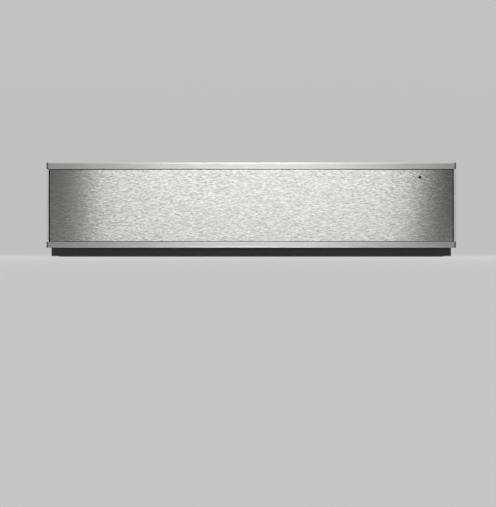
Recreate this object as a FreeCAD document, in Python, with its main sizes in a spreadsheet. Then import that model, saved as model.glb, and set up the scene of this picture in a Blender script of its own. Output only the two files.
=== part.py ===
"""A built-in warming drawer for a 60 cm kitchen cabinet, 140 mm pitch, made as an assembly.

Frame: X to the right, Y to the back, Z up, in millimetres. The origin is the middle of the footprint, on
the shelf that the housing stands on. The steel front faces -Y. Everything that moves forward moves to -Y.

The pieces, from the outside in:
  housing    base, two sides, back and top in zinc-coated sheet, and a dark frame round the mouth
  slides     two full-extension ball slides, each of three members and two ball cages
  rear unit  hot-air fan, ring heater, motor, power board and mains inlet behind a partition
  drawer     framed steel front, steel pan, stainless tub, heated glass floor
  control    a sunk dial in the front rim, and a red window that shows heat through the front
"""

import FreeCAD, Part
import os
import re

import Sketcher
from FreeCAD import Rotation, Vector

# ---------------------------------------------------------------------------------------------------------
# Driving dimensions. Each row is a name, a number and what it measures.

SIZES = (
    ("past", "1", "how far a cut runs past the surface that it opens"),
    # the whole
    ("overall_depth", "540", "front face to back wall"),
    ("front_width", "590", "drawer front, left to right"),
    ("front_height", "122.7", "drawer front, bottom to top"),
    ("front_bottom", "13", "finger gap under the drawer front"),
    ("front_thickness", "16.5", "drawer front, face to back"),
    # framed front
    ("top_rail_height", "9.4", "upper aluminium rail"),
    ("bottom_rail_height", "8.6", "lower aluminium rail"),
    ("rail_wall", "1.8", "wall of a rail"),
    ("rail_setback", "0.6", "face of a rail behind the lip of the lower rail"),
    ("rail_bevel", "1.4", "bevel along the top of the upper rail"),
    ("lip_height", "1.8", "lip along the bottom of the lower rail"),
    ("end_cap_width", "2.4", "plastic cap on each end of a rail"),
    ("end_cap_setback", "1.1", "face of an end cap behind the lip"),
    ("peg_length", "12", "peg of an end cap inside its rail"),
    ("slip", "0.1", "clearance of a part that slips into another"),
    ("strip_width", "3.2", "aluminium strip up each side of the front"),
    ("strip_wall", "1.5", "front leg of a side strip"),
    ("side_gap", "2", "black joint left and right of the steel panel"),
    ("top_gap", "0.9", "black joint over the steel panel"),
    ("bottom_gap", "0.6", "black joint under the steel panel"),
    ("joint_setback", "2", "black joint strip behind the front face"),
    ("joint_depth", "4", "black joint strip, front to back"),
    ("panel_sheet", "1.2", "sheet of the steel panel"),
    ("panel_setback", "1.2", "steel panel behind the front face"),
    ("panel_return", "8", "folded edge of the steel panel"),
    ("panel_round", "0.5", "outer bend of the steel panel"),
    ("carrier_sheet", "1", "sheet of the carrier behind the front"),
    ("carrier_tongue", "4", "carrier's tongue inside each rail"),
    ("felt_clearance", "1.5", "play round the felt in the front"),
    ("felt_play", "0.3", "play in front of and behind that felt"),
    ("lens_radius", "2.25", "red window in the front"),
    ("lens_inset", "46.8", "red window from the side of the panel"),
    ("lens_drop", "21.2", "red window below the top of the front"),
    ("pipe_radius", "1.5", "light pipe behind the red window"),
    ("lens_flange", "3.2", "collar of the red window, behind the panel"),
    ("lens_flange_depth", "1.6", "collar of the red window"),
    ("pipe_reach", "1.5", "light pipe past the pan's wall"),
    # frame round the mouth of the housing
    ("frame_gap", "3", "drawer front to frame, filled by the seal"),
    ("frame_sheet", "1.5", "sheet of the frame"),
    ("frame_side", "12", "frame outside the side walls' inner faces"),
    ("frame_bottom", "1", "frame above the shelf"),
    ("sill_over", "7", "lower bar of the frame above the front's lower edge"),
    ("head_height", "6", "upper bar of the frame"),
    ("seal_width", "4.5", "silicone seal on the frame"),
    ("seal_edge", "2", "seal to the mouth, left and right"),
    ("seal_margin", "1", "seal to the mouth, top and bottom"),
    ("seal_clearance", "0.3", "seal to the closed drawer front"),
    ("seal_round", "1.2", "rounding of the seal"),
    # housing
    ("front_side", "17", "drawer front past the housing, left and right"),
    ("front_over", "1.7", "drawer front above the housing"),
    ("housing_sheet", "1", "sheet of the housing"),
    ("fold_width", "12", "folded edge of a housing sheet"),
    ("fold_play", "0.5", "play beside a folded edge"),
    ("bead_radius", "6", "outer radius of a pressed bead"),
    ("bead_rise", "3", "bead above its sheet"),
    ("bead_margin", "45", "bead to the folds of the side walls"),
    ("bead_pitch", "110", "bead to bead"),
    ("vent_width", "5", "slot in the back wall"),
    ("vent_length", "52", "slot in the back wall"),
    ("vent_pitch", "12", "slot to slot"),
    ("vent_group_pitch", "125", "group of slots to group of slots"),
    ("cover_screw_radius", "1.5", "shank of a cover screw"),
    ("cover_screw_head", "3", "head of a cover screw"),
    ("cover_screw_length", "6", "cover screw below its head"),
    ("cover_screw_inset", "40", "end screws from the cover's ends"),
    ("cabinet_hole_radius", "2.25", "hole for a screw into the cabinet"),
    ("cabinet_hole_depth", "24", "that hole behind the frame"),
    ("cabinet_hole_low", "29", "lower such hole above the base"),
    ("cabinet_hole_high", "25", "upper such hole below the cover"),
    # slides
    ("slide_depth", "13", "side wall to drawer pan"),
    ("slide_tail", "1", "slide to the back of the drawer pan"),
    ("slide_inset", "2", "members behind the frame"),
    ("slide_rise", "48", "slide above the bottom of the drawer pan"),
    ("slide_height", "45", "outer member"),
    ("slide_sheet", "1.2", "sheet of a member"),
    ("slide_bend", "1", "outer bend of a member"),
    ("outer_reach", "9.5", "wall to the edge of the outer member"),
    ("middle_web", "3.4", "wall to the web of the middle member"),
    ("middle_reach", "11", "wall to the edge of the middle member"),
    ("inner_reach", "6.2", "wall to the edge of the inner member"),
    ("ball_radius", "2.1", "steel ball"),
    ("ball_play", "0.1", "ball to its race"),
    ("ball_pocket", "0.15", "ball to the cage"),
    ("outer_ball_place", "6.4", "wall to the outer balls"),
    ("inner_ball_place", "8.8", "wall to the inner balls"),
    ("outer_cage_web", "2", "wall to the web of the outer cage"),
    ("outer_cage_reach", "9.2", "wall to the edge of the outer cage"),
    ("inner_cage_web", "5.1", "wall to the web of the inner cage"),
    ("inner_cage_reach", "11.3", "wall to the edge of the inner cage"),
    ("cage_sheet", "0.6", "sheet of a ball cage"),
    ("cage_start", "122", "cage behind the front end of the slide"),
    ("cage_length", "200", "ball cage"),
    ("rivet_radius", "2", "shank of a rivet"),
    ("rivet_head_radius", "3.6", "head of a rivet"),
    ("rivet_head_height", "1.2", "head of a rivet"),
    ("rivet_inset", "24", "end rivet to the end of the slide"),
    # rear unit
    ("motor_bay", "37", "partition to back wall"),
    ("partition_sheet", "1", "sheet of the partition"),
    ("partition_play", "0.2", "partition to the side walls"),
    ("duct_depth", "22", "fan cover in front of the partition"),
    ("duct_width", "236", "fan cover"),
    ("duct_low_gap", "8", "fan cover to the base"),
    ("duct_high_gap", "6", "fan cover to the top"),
    ("duct_sheet", "0.8", "sheet of the fan cover"),
    ("outlet_length", "70", "outlet slot in the fan cover"),
    ("outlet_width", "4", "outlet slot in the fan cover"),
    ("outlet_pitch", "9", "outlet slot to slot"),
    ("outlet_place", "84", "first outlet slot from the middle"),
    ("inlet_inner", "9", "inlet slots from the fan axis"),
    ("inlet_margin", "6", "inlet slots to the rim of the fan wheel"),
    ("inlet_width", "3.6", "inlet slot"),
    ("fan_margin", "6.7", "fan wheel to the ring heater"),
    ("blade_length", "13", "fan blade"),
    ("fan_length", "13", "fan wheel, front to back"),
    ("fan_sheet", "1", "sheet of the fan wheel"),
    ("fan_tip_gap", "4", "fan wheel to the partition"),
    ("blade_slant", "5", "sideways lean of a blade's tip"),
    ("hub_radius", "7", "hub of the fan wheel"),
    ("shaft_radius", "2.5", "motor shaft"),
    ("shaft_play", "0.06", "shaft to its bearing"),
    ("nut_width", "4", "half the width of the fan nut"),
    ("nut_height", "3", "fan nut"),
    ("ring_margin", "5", "ring heater to the fan cover"),
    ("ring_knuckle", "3.9", "radius of the joint at each end of the ring"),
    ("ring_tube", "3.25", "radius of the heater tube"),
    ("ring_gap_angle", "20", "half the opening of the ring heater"),
    ("ring_place", "11", "ring heater in front of the partition"),
    ("leg_length", "12", "heater end behind the partition"),
    ("leg_plate", "1.2", "plate that holds the heater ends"),
    ("motor_gap", "3", "partition to motor bracket"),
    ("bracket_sheet", "2", "motor bracket"),
    ("bearing_radius", "6", "bearing boss"),
    ("stack_gap", "3", "motor bracket to iron stack"),
    ("stack_depth", "15", "iron stack"),
    ("stack_half", "28", "half the width of the iron stack"),
    ("rotor_radius", "12", "motor rotor"),
    ("rotor_play", "0.4", "rotor to stack"),
    ("core_height", "13", "bar of the stack that the coil is wound on"),
    ("window_height", "7", "window in the stack over the bar"),
    ("window_half", "17", "half the width of the window"),
    ("coil_half", "15", "half the width of the coil"),
    ("coil_wind", "5", "coil above and below the bar"),
    ("coil_overhang", "2.4", "coil past the stack, front and back"),
    ("bracket_half_height", "9", "half the height of a motor bracket"),
    ("bearing_reach", "1.5", "bearing boss past its bracket"),
    ("stud_radius", "2", "stud through the motor"),
    ("stud_inset", "4", "stud from the edge of the stack"),
    ("spacer_radius", "4", "spacer round a stud"),
    ("shaft_end", "2", "shaft past the rear bracket"),
    ("tray_inset", "41", "board tray to the side wall"),
    ("tray_width", "140", "board tray"),
    ("tray_low_gap", "15", "board tray to the base"),
    ("tray_high_gap", "17", "board tray to the cover"),
    ("tray_wall", "1.5", "wall of the board tray"),
    ("tray_depth", "12", "rim of the board tray"),
    ("board_sheet", "1.6", "circuit board"),
    ("board_lift", "5", "board above the tray floor"),
    ("board_play", "1.5", "board to the tray rim"),
    ("relay_inset", "8", "relays and transformer to the board's edge"),
    ("relay_pitch", "28", "relay to relay"),
    ("relay_width", "19", "relay"),
    ("relay_height", "16", "relay"),
    ("relay_depth", "15", "relay"),
    ("transformer_width", "44", "transformer"),
    ("transformer_height", "36", "transformer"),
    ("transformer_depth", "24", "transformer"),
    ("block_width", "42", "mains terminal block"),
    ("block_depth", "20", "mains terminal block"),
    ("block_pitch", "12", "terminal to terminal"),
    ("block_height", "22", "mains terminal block"),
    ("inlet_inset", "49", "mains inlet from the side wall"),
    ("inlet_height", "42", "mains inlet above the shelf"),
    ("cable_radius", "4", "bore for the mains cable"),
    ("gland_radius", "8", "thread of the cable gland"),
    ("gland_flange", "11", "flange of the cable gland"),
    ("gland_inside", "14", "gland inside the back wall"),
    ("gland_flange_depth", "3", "flange inside the back wall"),
    ("limiter_radius", "8", "temperature limiter"),
    ("limiter_depth", "9", "temperature limiter"),
    ("limiter_place", "-66", "temperature limiter, from the middle"),
    ("catch_inset", "64", "closing magnet from the side of the drawer pan"),
    ("catch_half", "15", "half the width of the closing magnet"),
    ("catch_rise", "9", "half the height of the closing magnet"),
    ("catch_wall", "2", "wall of the magnet's holder"),
    ("magnet_depth", "6", "closing magnet"),
    ("strike_sheet", "1.6", "strike plate"),
    ("magnet_gap", "0.6", "magnet to strike plate"),
    # drawer pan and tub
    ("rear_clearance", "5", "drawer pan to fan cover"),
    ("sill_clearance", "2", "drawer pan above the lower bar of the frame"),
    ("pan_sheet", "1", "sheet of the drawer pan"),
    ("rim_clearance", "2.2", "drawer rim below the upper bar of the frame"),
    ("tub_sheet", "0.8", "sheet of the tub"),
    ("side_rim", "24", "side rim of the tub"),
    ("front_rim", "44", "front rim of the tub"),
    ("back_rim", "5", "back rim of the tub"),
    ("tub_corner", "15", "corner radius inside the tub"),
    ("felt_gap", "0.7", "insulation to the ledge"),
    ("ledge_width", "12", "floor ledge"),
    ("pad_height", "0.8", "silicone strip under the glass"),
    ("pad_margin", "1", "silicone strip to the ledge's edges"),
    ("glass_sheet", "4", "glass floor"),
    ("glass_play", "0.7", "glass floor to the tub"),
    ("mat_sheet", "1.5", "heating mat"),
    ("mat_margin", "8", "heating mat to the ledge"),
    ("felt_lift", "0.3", "insulation to the sheet that it lies on"),
    ("felt_height", "10", "insulation under the floor"),
    ("sensor_radius", "5", "temperature sensor under the mat"),
    ("sensor_height", "4", "temperature sensor under the mat"),
    ("sensor_place", "60", "temperature sensor, from the middle"),
    ("tub_vent_width", "4", "air slot in the tub and the pan"),
    ("tub_vent_height", "44", "air slot in the tub and the pan"),
    ("tub_vent_pitch", "11", "air slot to slot"),
    ("front_screw_place", "150", "screws of the front, from the middle"),
    ("front_screw_low", "18", "lower such screw above the bottom of the pan"),
    ("front_screw_high", "25", "upper such screw below the rim of the pan"),
    ("screw_radius", "2", "shank of a screw"),
    ("screw_head_radius", "4", "head of a screw"),
    ("screw_head_height", "2.4", "head of a screw"),
    ("screw_reach", "6", "screw past the sheet that it holds"),
    # control
    ("control_inset", "6", "control tray to the side of the pan"),
    ("control_width", "84", "control tray"),
    ("control_front", "8", "control tray behind the drawer front"),
    ("control_depth", "30", "control tray, front to back"),
    ("control_sink", "15", "control tray below the rim"),
    ("control_wall", "1.5", "wall of the control tray"),
    ("control_lip", "2", "lip of the control tray on the rim"),
    ("control_lip_height", "1", "lip of the control tray on the rim"),
    ("dial_inset", "26", "dial from the right edge of the tray"),
    ("dial_radius", "8", "dial"),
    ("dial_height", "10.5", "dial"),
    ("dial_gap", "0.7", "dial to the floor of the tray"),
    ("dial_round", "0.8", "rounded edge of the dial"),
    ("grip_width", "3.4", "grip bar across the dial"),
    ("grip_sink", "5", "dial's shoulder below the grip bar"),
    ("spindle_radius", "3", "spindle under the dial"),
    ("spindle_play", "0.3", "spindle to the tray"),
    ("switch_half", "7", "half the width of the rotary switch"),
    ("switch_height", "8", "rotary switch"),
    ("switch_gap", "1.8", "rotary switch to the tray"),
    ("control_board_width", "70", "control board"),
    ("control_board_depth", "26", "control board"),
    ("spindle_depth", "5", "spindle inside the rotary switch"),
    ("post_radius", "2.4", "post that holds a board"),
    ("post_inset", "3", "post from the edge of its board"),
    ("lamp_board_half", "7", "half the width of the lamp board"),
    ("lamp_radius", "2.5", "lamp behind the light pipe"),
    ("lamp_length", "3", "lamp behind the light pipe"),
)

# Places that follow from the sizes. Each row is a name and a formula.
PLACES = (
    # planes from front to back
    ("front_y", "-overall_depth / 2"),
    ("back_y", "front_y + front_thickness"),
    ("frame_y", "back_y + frame_gap"),
    ("niche_y", "frame_y + frame_sheet"),
    ("rear_y", "overall_depth / 2"),
    ("wall_y", "rear_y - housing_sheet"),
    ("bay_y", "wall_y - motor_bay"),
    ("partition_y", "bay_y - partition_sheet"),
    ("duct_y", "partition_y - duct_depth"),
    ("pan_end_y", "duct_y - rear_clearance"),
    # drawer front
    ("front_half", "front_width / 2"),
    ("front_top", "front_bottom + front_height"),
    ("upper_rail_z", "front_top - top_rail_height"),
    ("lower_rail_z", "front_bottom + bottom_rail_height"),
    ("rail_half", "front_half - end_cap_width"),
    ("rail_face_y", "front_y + rail_setback"),
    ("strip_x", "front_half - strip_width"),
    ("panel_half", "strip_x - side_gap"),
    ("panel_low", "lower_rail_z + bottom_gap"),
    ("panel_high", "upper_rail_z - top_gap"),
    ("panel_y", "front_y + panel_setback"),
    ("panel_back_y", "panel_y + panel_sheet"),
    ("lens_place", "panel_half - lens_inset"),
    ("lens_z", "front_top - lens_drop"),
    ("carrier_face_y", "back_y - carrier_sheet"),
    ("tongue_y", "back_y - rail_wall - slip"),
    # housing and its frame
    ("housing_height", "front_top - front_over"),
    ("cover_z", "housing_height - housing_sheet"),
    ("sill_z", "front_bottom + sill_over"),
    ("head_z", "housing_height - head_height"),
    ("housing_half", "front_half - front_side"),
    ("wall_x", "housing_half - housing_sheet"),
    ("frame_half", "wall_x + frame_side"),
    ("fold_x", "wall_x - fold_width"),
    ("fold_end_x", "fold_x - fold_play"),
    ("bead_length", "2 * (fold_x - bead_margin)"),
    ("cabinet_low_z", "housing_sheet + cabinet_hole_low"),
    ("cabinet_high_z", "cover_z - cabinet_hole_high"),
    # drawer pan and tub
    ("pan_half", "wall_x - slide_depth"),
    ("pan_bottom", "sill_z + sill_clearance"),
    ("pan_floor", "pan_bottom + pan_sheet"),
    ("rim_height", "head_z - rim_clearance"),
    ("rim_z", "rim_height - tub_sheet"),
    ("tub_half", "pan_half - side_rim"),
    ("tub_front_y", "back_y + front_rim"),
    ("tub_back_y", "pan_end_y - back_rim"),
    ("ledge_height", "pan_floor + felt_lift + felt_height + felt_gap"),
    ("ledge_top", "ledge_height + tub_sheet"),
    ("hole_half", "tub_half - ledge_width"),
    ("hole_front_y", "tub_front_y + ledge_width"),
    ("hole_back_y", "tub_back_y - ledge_width"),
    ("glass_z", "ledge_top + pad_height"),
    ("glass_top", "glass_z + glass_sheet"),
    ("air_z", "(glass_top + rim_z) / 2"),
    ("screw_low_z", "pan_bottom + front_screw_low"),
    ("screw_high_z", "rim_z - front_screw_high"),
    # slides
    ("slide_middle", "pan_bottom + slide_rise"),
    ("slide_y", "niche_y + slide_inset"),
    ("slide_end_y", "pan_end_y - slide_tail"),
    ("race", "2 * (ball_radius + ball_play)"),
    ("outer_half", "slide_height / 2"),
    ("outer_ball_rise", "outer_half - slide_sheet - race / 2"),
    ("middle_half", "outer_half - slide_sheet - race"),
    ("inner_ball_rise", "middle_half - slide_sheet - race / 2"),
    ("inner_half", "middle_half - slide_sheet - race"),
    ("cage_y", "slide_y + cage_start"),
    ("cage_end_y", "cage_y + cage_length"),
    ("rivet_crown", "0.6 * rivet_head_radius"),
    # rear unit
    ("duct_bottom", "housing_sheet + duct_low_gap"),
    ("duct_top", "cover_z - duct_high_gap"),
    ("duct_half", "duct_width / 2"),
    ("fan_height", "(duct_bottom + duct_top) / 2"),
    ("ring_radius", "duct_top - fan_height - duct_sheet - ring_margin - ring_tube"),
    ("fan_radius", "ring_radius - ring_tube - fan_margin"),
    ("fan_eye", "fan_radius - blade_length"),
    ("inlet_outer", "fan_radius - inlet_margin"),
    ("fan_back_y", "partition_y - fan_tip_gap"),
    ("fan_front_y", "fan_back_y - fan_length"),
    ("ring_y", "partition_y - ring_place"),
    ("bracket_y", "bay_y + motor_gap"),
    ("stack_y", "bracket_y + bracket_sheet + stack_gap"),
    ("stack_end_y", "stack_y + stack_depth"),
    ("rear_bracket_y", "stack_end_y + stack_gap"),
    ("motor_end_y", "rear_bracket_y + bracket_sheet"),
    ("stack_low", "fan_height - stack_half - core_height"),
    ("stack_high", "fan_height + stack_half"),
    ("core_top", "stack_low + core_height"),
    ("stud_x", "stack_half - stud_inset"),
    ("tray_right", "wall_x - tray_inset"),
    ("tray_left", "tray_right - tray_width"),
    ("tray_bottom", "housing_sheet + tray_low_gap"),
    ("tray_top", "cover_z - tray_high_gap"),
    ("board_y", "bay_y + tray_wall + board_lift"),
    ("board_face_y", "board_y + board_sheet"),
    ("board_left", "tray_left + tray_wall + board_play"),
    ("board_right", "tray_right - tray_wall - board_play"),
    ("board_low", "tray_bottom + tray_wall + board_play"),
    ("board_high", "tray_top - tray_wall - board_play"),
    ("inlet_place", "-(wall_x - inlet_inset)"),
    ("catch_place", "-(pan_half - catch_inset)"),
    ("strike_y", "pan_end_y + strike_sheet"),
    ("catch_y", "strike_y + magnet_gap"),
    # control
    ("control_right", "pan_half - control_inset"),
    ("control_left", "control_right - control_width"),
    ("control_middle", "control_right - control_width / 2"),
    ("control_y", "back_y + control_front"),
    ("control_end_y", "control_y + control_depth"),
    ("control_z", "rim_height - control_sink"),
    ("control_floor", "control_z + control_wall"),
    ("dial_place", "control_right - dial_inset"),
    ("dial_y", "control_y + control_depth / 2"),
    ("dial_z", "control_floor + dial_gap"),
    ("dial_top", "dial_z + dial_height"),
    ("switch_top", "control_z - switch_gap"),
    ("control_board_top", "switch_top - switch_height"),
    ("control_board_z", "control_board_top - board_sheet"),
    ("lamp_y", "control_y - board_sheet"),
)

OWNER = {name: "Sizes." for name, _, _ in SIZES}
OWNER.update({name: "Places." for name, _ in PLACES})


def formula(text):
    """The formula with each name of a size or a place led by the sheet that holds it."""
    return re.sub(r"[a-z][a-z_]+", lambda found: OWNER.get(found.group(), "") + found.group(), text)


doc = FreeCAD.newDocument("WarmingDrawer")
sizes = doc.addObject("Spreadsheet::Sheet", "Sizes")
for row, (name, text, note) in enumerate(SIZES, 1):
    sizes.set(f"A{row}", note)
    sizes.set(f"B{row}", text)
    sizes.setAlias(f"B{row}", name)
places = doc.addObject("Spreadsheet::Sheet", "Places")
doc.recompute()
for row, (name, text) in enumerate(PLACES, 1):
    places.setAlias(f"B{row}", name)
    places.set(f"A{row}", name)
    places.set(f"B{row}", "=" + formula(text).replace("Places.", ""))
doc.recompute()


def number(name):
    """The value of a size or a place."""
    return float((sizes if OWNER[name] == "Sizes." else places).get(name))


# ---------------------------------------------------------------------------------------------------------
# Ways of making a piece. A span is a pair of formulas, its lower and its upper end.

AXES = {"X": Vector(1, 0, 0), "Y": Vector(0, 1, 0), "Z": Vector(0, 0, 1)}
TURN_TO = {"X": Rotation(AXES["Y"], 90), "Y": Rotation(AXES["X"], -90), "Z": Rotation()}
NEAR = 0.01
made = []


def keep(piece, label):
    """Marks a finished sub-part, which gets a file of its own."""
    piece.Label = label
    made.append(piece)
    return piece


def bind(thing, **formulas):
    """Ties properties to the sheets. A double underscore in a name stands for a dot."""
    for name, text in formulas.items():
        thing.setExpression(name.replace("__", "."), formula(text))
    return thing


def place(thing, x, y, z):
    """Ties the place of a primitive to the sheets."""
    return bind(thing, Placement__Base__x=x, Placement__Base__y=y, Placement__Base__z=z)


def block(x, y, z):
    """A box over three spans."""
    box = doc.addObject("Part::Box", "Block")
    bind(box, Length=f"({x[1]}) - ({x[0]})", Width=f"({y[1]}) - ({y[0]})", Height=f"({z[1]}) - ({z[0]})")
    return place(box, x[0], y[0], z[0])


def rod(axis, start, radius, length):
    """A cylinder along an axis from a start point."""
    cylinder = doc.addObject("Part::Cylinder", "Rod")
    cylinder.Placement.Rotation = TURN_TO[axis]
    bind(cylinder, Radius=radius, Height=length)
    return place(cylinder, *start)


def cone(axis, start, first, last, length):
    """A cone along an axis, from its first radius to its last."""
    tapered = doc.addObject("Part::Cone", "Taper")
    tapered.Placement.Rotation = TURN_TO[axis]
    bind(tapered, Radius1=first, Radius2=last, Height=length)
    return place(tapered, *start)


def ball(centre, radius):
    """A sphere round a centre."""
    sphere = doc.addObject("Part::Sphere", "Ball")
    bind(sphere, Radius=radius)
    return place(sphere, *centre)


def several(kind, name, shapes):
    """Several shapes held by one feature, a fusion or a group."""
    held = doc.addObject(kind, name)
    setattr(held, "Links" if kind == "Part::Compound" else "Shapes", list(shapes))
    return held


def fuse(*shapes):
    """The shapes joined into one."""
    return several("Part::MultiFuse", "Fusion", shapes)


def group(*shapes):
    """The shapes side by side, each its own solid."""
    return several("Part::Compound", "Group", shapes)


def cut(base, *tools):
    """The base less all the tools."""
    less = doc.addObject("Part::Cut", "Less")
    less.Base = base
    less.Tool = tools[0] if len(tools) == 1 else group(*tools)
    doc.recompute()
    if less.Shape.Volume > base.Shape.Volume - NEAR:
        raise RuntimeError(f"a cut in {base.Label} takes nothing away")
    return less


def mirrored(piece):
    """The same piece on the other side."""
    twin = doc.addObject("Part::Mirroring", "Twin")
    twin.Source = piece
    twin.Normal = AXES["X"]
    return twin


def pair(piece, name):
    """A right-hand piece and its left-hand twin."""
    keep(piece, f"right_{name}")
    keep(mirrored(piece), f"left_{name}")


def both_sides(pieces, label):
    """Like pieces of both sides, held as one node."""
    right = group(*pieces)
    keep(group(right, mirrored(right)), label)


class Piece:
    """A body that grows feature by feature from sketches on its own origin planes."""

    NORMAL = {"XY": 1, "XZ": -1, "YZ": 1}

    def __init__(self, label):
        self.body = doc.addObject("PartDesign::Body", label)
        self.body.Label = label
        self.last = None

    def sketch(self, plane, at, loops, centre=("0", "0")):
        """Closed outlines on a plane at a distance. A loop is a list of points, or (x, y, radius)."""
        drawn = self.body.newObject("Sketcher::SketchObject", "Sketch")
        role = f"{plane}_Plane"
        origin = [o for o in self.body.Origin.OriginFeatures if o.Role == role][0]
        drawn.AttachmentSupport = [(origin, "")]
        drawn.MapMode = "FlatFace"
        away = at if self.NORMAL[plane] > 0 else f"-({at})"
        bind(drawn, AttachmentOffset__Base__x=centre[0], AttachmentOffset__Base__y=centre[1])
        bind(drawn, AttachmentOffset__Base__z=away)
        for loop in loops:
            if isinstance(loop, tuple):
                self.draw_circle(drawn, *loop)
            else:
                self.draw_outline(drawn, loop)
        return drawn

    @staticmethod
    def hold(drawn, kind, *where_and_size):
        """Adds a constraint and ties its size to the sheets."""
        *where, size = where_and_size
        index = drawn.addConstraint(Sketcher.Constraint(kind, *where, 1.0))
        drawn.setExpression(f"Constraints[{index}]", formula(size))

    def draw_circle(self, drawn, x, y, radius):
        edge = drawn.addGeometry(Part.Circle(Vector(1, 1, 0), AXES["Z"], 1), False)
        self.hold(drawn, "Radius", edge, radius)
        self.hold(drawn, "DistanceX", -1, 1, edge, 3, x)
        self.hold(drawn, "DistanceY", -1, 1, edge, 3, y)

    def draw_outline(self, drawn, points):
        first = drawn.GeometryCount
        rough = [Vector(i, i * i, 0) for i in range(len(points) + 1)]
        edges = []
        for i in range(len(points)):
            end = rough[i + 1] if i + 1 < len(points) else rough[0]
            edges.append(drawn.addGeometry(Part.LineSegment(rough[i], end), False))
        for i, edge in enumerate(edges):
            following = first + (i + 1) % len(edges)
            drawn.addConstraint(Sketcher.Constraint("Coincident", edge, 2, following, 1))
        for edge, (x, y) in zip(edges, points):
            self.hold(drawn, "DistanceX", -1, 1, edge, 1, x)
            self.hold(drawn, "DistanceY", -1, 1, edge, 1, y)

    def feature(self, kind, **formulas):
        """Adds a feature, and keeps it as the one to build on."""
        added = self.body.newObject(f"PartDesign::{kind}", kind)
        bind(added, **formulas)
        self.last = added
        return added

    def settle(self, added):
        """Works the feature out and stops if it has failed."""
        doc.recompute()
        if added.Shape.isNull() or not added.Shape.isValid():
            raise RuntimeError(f"{added.Label} in {self.body.Label} has failed")
        return added

    def pad(self, plane, loops, span, centre=("0", "0")):
        """Fills the outlines over a span along the plane's axis."""
        drawn = self.sketch(plane, span[0], loops, centre)
        added = self.feature("Pad", Length=f"({span[1]}) - ({span[0]})")
        added.Profile = drawn
        added.Reversed = self.NORMAL[plane] < 0
        return self.settle(added)

    def pocket(self, plane, loops, span, centre=("0", "0")):
        """Clears the outlines over a span along the plane's axis."""
        before = self.body.Shape.Volume
        drawn = self.sketch(plane, span[0], loops, centre)
        added = self.feature("Pocket", Length=f"({span[1]}) - ({span[0]})")
        added.Profile = drawn
        added.Reversed = self.NORMAL[plane] > 0
        self.settle(added)
        if self.body.Shape.Volume > before - NEAR:
            raise RuntimeError(f"a pocket in {self.body.Label} takes nothing away")
        return added

    def turn(self, loop, y, centre):
        """Turns an outline of (radius, height) points about an upright axis."""
        drawn = self.sketch("XZ", y, [loop], centre)
        added = self.feature("Revolution")
        added.Profile = drawn
        added.ReferenceAxis = (drawn, ["V_Axis"])
        added.Angle = 360
        return self.settle(added)

    def spin(self, copied, count):
        """Repeats a feature round the normal of its sketch."""
        pattern = self.feature("PolarPattern")
        pattern.Originals = [copied]
        pattern.Axis = (copied.Profile[0], ["N_Axis"])
        pattern.Angle = 360
        pattern.Occurrences = count
        self.body.Tip = pattern
        return self.settle(pattern)

    def repeat(self, copied, direction, length, count):
        """Repeats a feature in a row along an axis of its sketch."""
        pattern = self.feature("LinearPattern", Length=length)
        pattern.Originals = [copied]
        pattern.Direction = (copied.Profile[0], [direction])
        pattern.Occurrences = count
        self.body.Tip = pattern
        return self.settle(pattern)

    def round(self, radius, axes, chosen):
        """Rounds the straight edges along the axes, such as "XZ", whose middle is chosen."""
        names = []
        for i, edge in enumerate(self.last.Shape.Edges, 1):
            if not isinstance(edge.Curve, Part.Line) or not chosen(edge.CenterOfMass):
                continue
            if any(abs(edge.Curve.Direction.dot(AXES[axis])) > 0.999 for axis in axes):
                names.append(f"Edge{i}")
        base = self.last
        added = self.feature("Fillet", Radius=radius)
        added.Base = (base, names)
        return self.settle(added)


def rectangle(across, up):
    """The four corners of a rectangle over two spans."""
    return [(across[0], up[0]), (across[1], up[0]), (across[1], up[1]), (across[0], up[1])]


def even(half):
    """A span that lies evenly about the middle."""
    return (f"-({half})", half)


# ---------------------------------------------------------------------------------------------------------
# Housing: five zinc-coated sheets and the dark frame round the mouth.

HOUSING_X = even("housing_half")
HOUSING_Y = ("niche_y", "rear_y")
BEADS = (-1, 0, 1)
VENT_GROUPS = (-1, 0, 1)
VENTS_IN_GROUP = 8


def beads(sign, surface):
    """The outer and inner rods of the pressed beads. Sign is +1 for beads that stand up."""
    outer, inner = [], []
    middle = f"{surface} + {sign} * (bead_rise - bead_radius)"
    for step in BEADS:
        place_y = f"{step} * bead_pitch"
        outer.append(rod("X", ("-bead_length / 2", place_y, middle), "bead_radius", "bead_length"))
        start = ("housing_sheet - bead_length / 2", place_y, middle)
        inner.append(rod("X", start, "bead_radius - housing_sheet", "bead_length - 2 * housing_sheet"))
    return outer, inner


def base_pan():
    """The floor of the housing, with three beads pressed upward."""
    outer, inner = beads(1, "housing_sheet")
    raised = fuse(block(HOUSING_X, HOUSING_Y, ("0", "housing_sheet")), *outer)
    below = block(even("housing_half + past"), ("niche_y - past", "rear_y + past"), ("-2 * bead_radius", "0"))
    keep(cut(cut(raised, *inner), below), "base_pan")


def cover_screw_spots():
    """Where the six screws of the cover sit, over the folds of the side walls."""
    rows = ("niche_y + cover_screw_inset", "(niche_y + wall_y) / 2", "wall_y - cover_screw_inset")
    return [(f"{side} * (wall_x - fold_width / 2)", y) for side in (-1, 1) for y in rows]


def top_cover():
    """The lid of the housing, with beads pressed downward and sunk holes for its screws."""
    outer, inner = beads(-1, "cover_z")
    pressed = fuse(block(HOUSING_X, HOUSING_Y, ("cover_z", "housing_height")), *outer)
    above = block(
        even("housing_half + past"),
        ("niche_y - past", "rear_y + past"),
        ("housing_height", "housing_height + 2 * bead_radius"),
    )
    sinks = [
        cone("Z", (x, y, "cover_z"), "cover_screw_radius", "cover_screw_head", "housing_sheet")
        for x, y in cover_screw_spots()
    ]
    keep(cut(cut(cut(pressed, *inner), above), *sinks), "top_cover")


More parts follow.
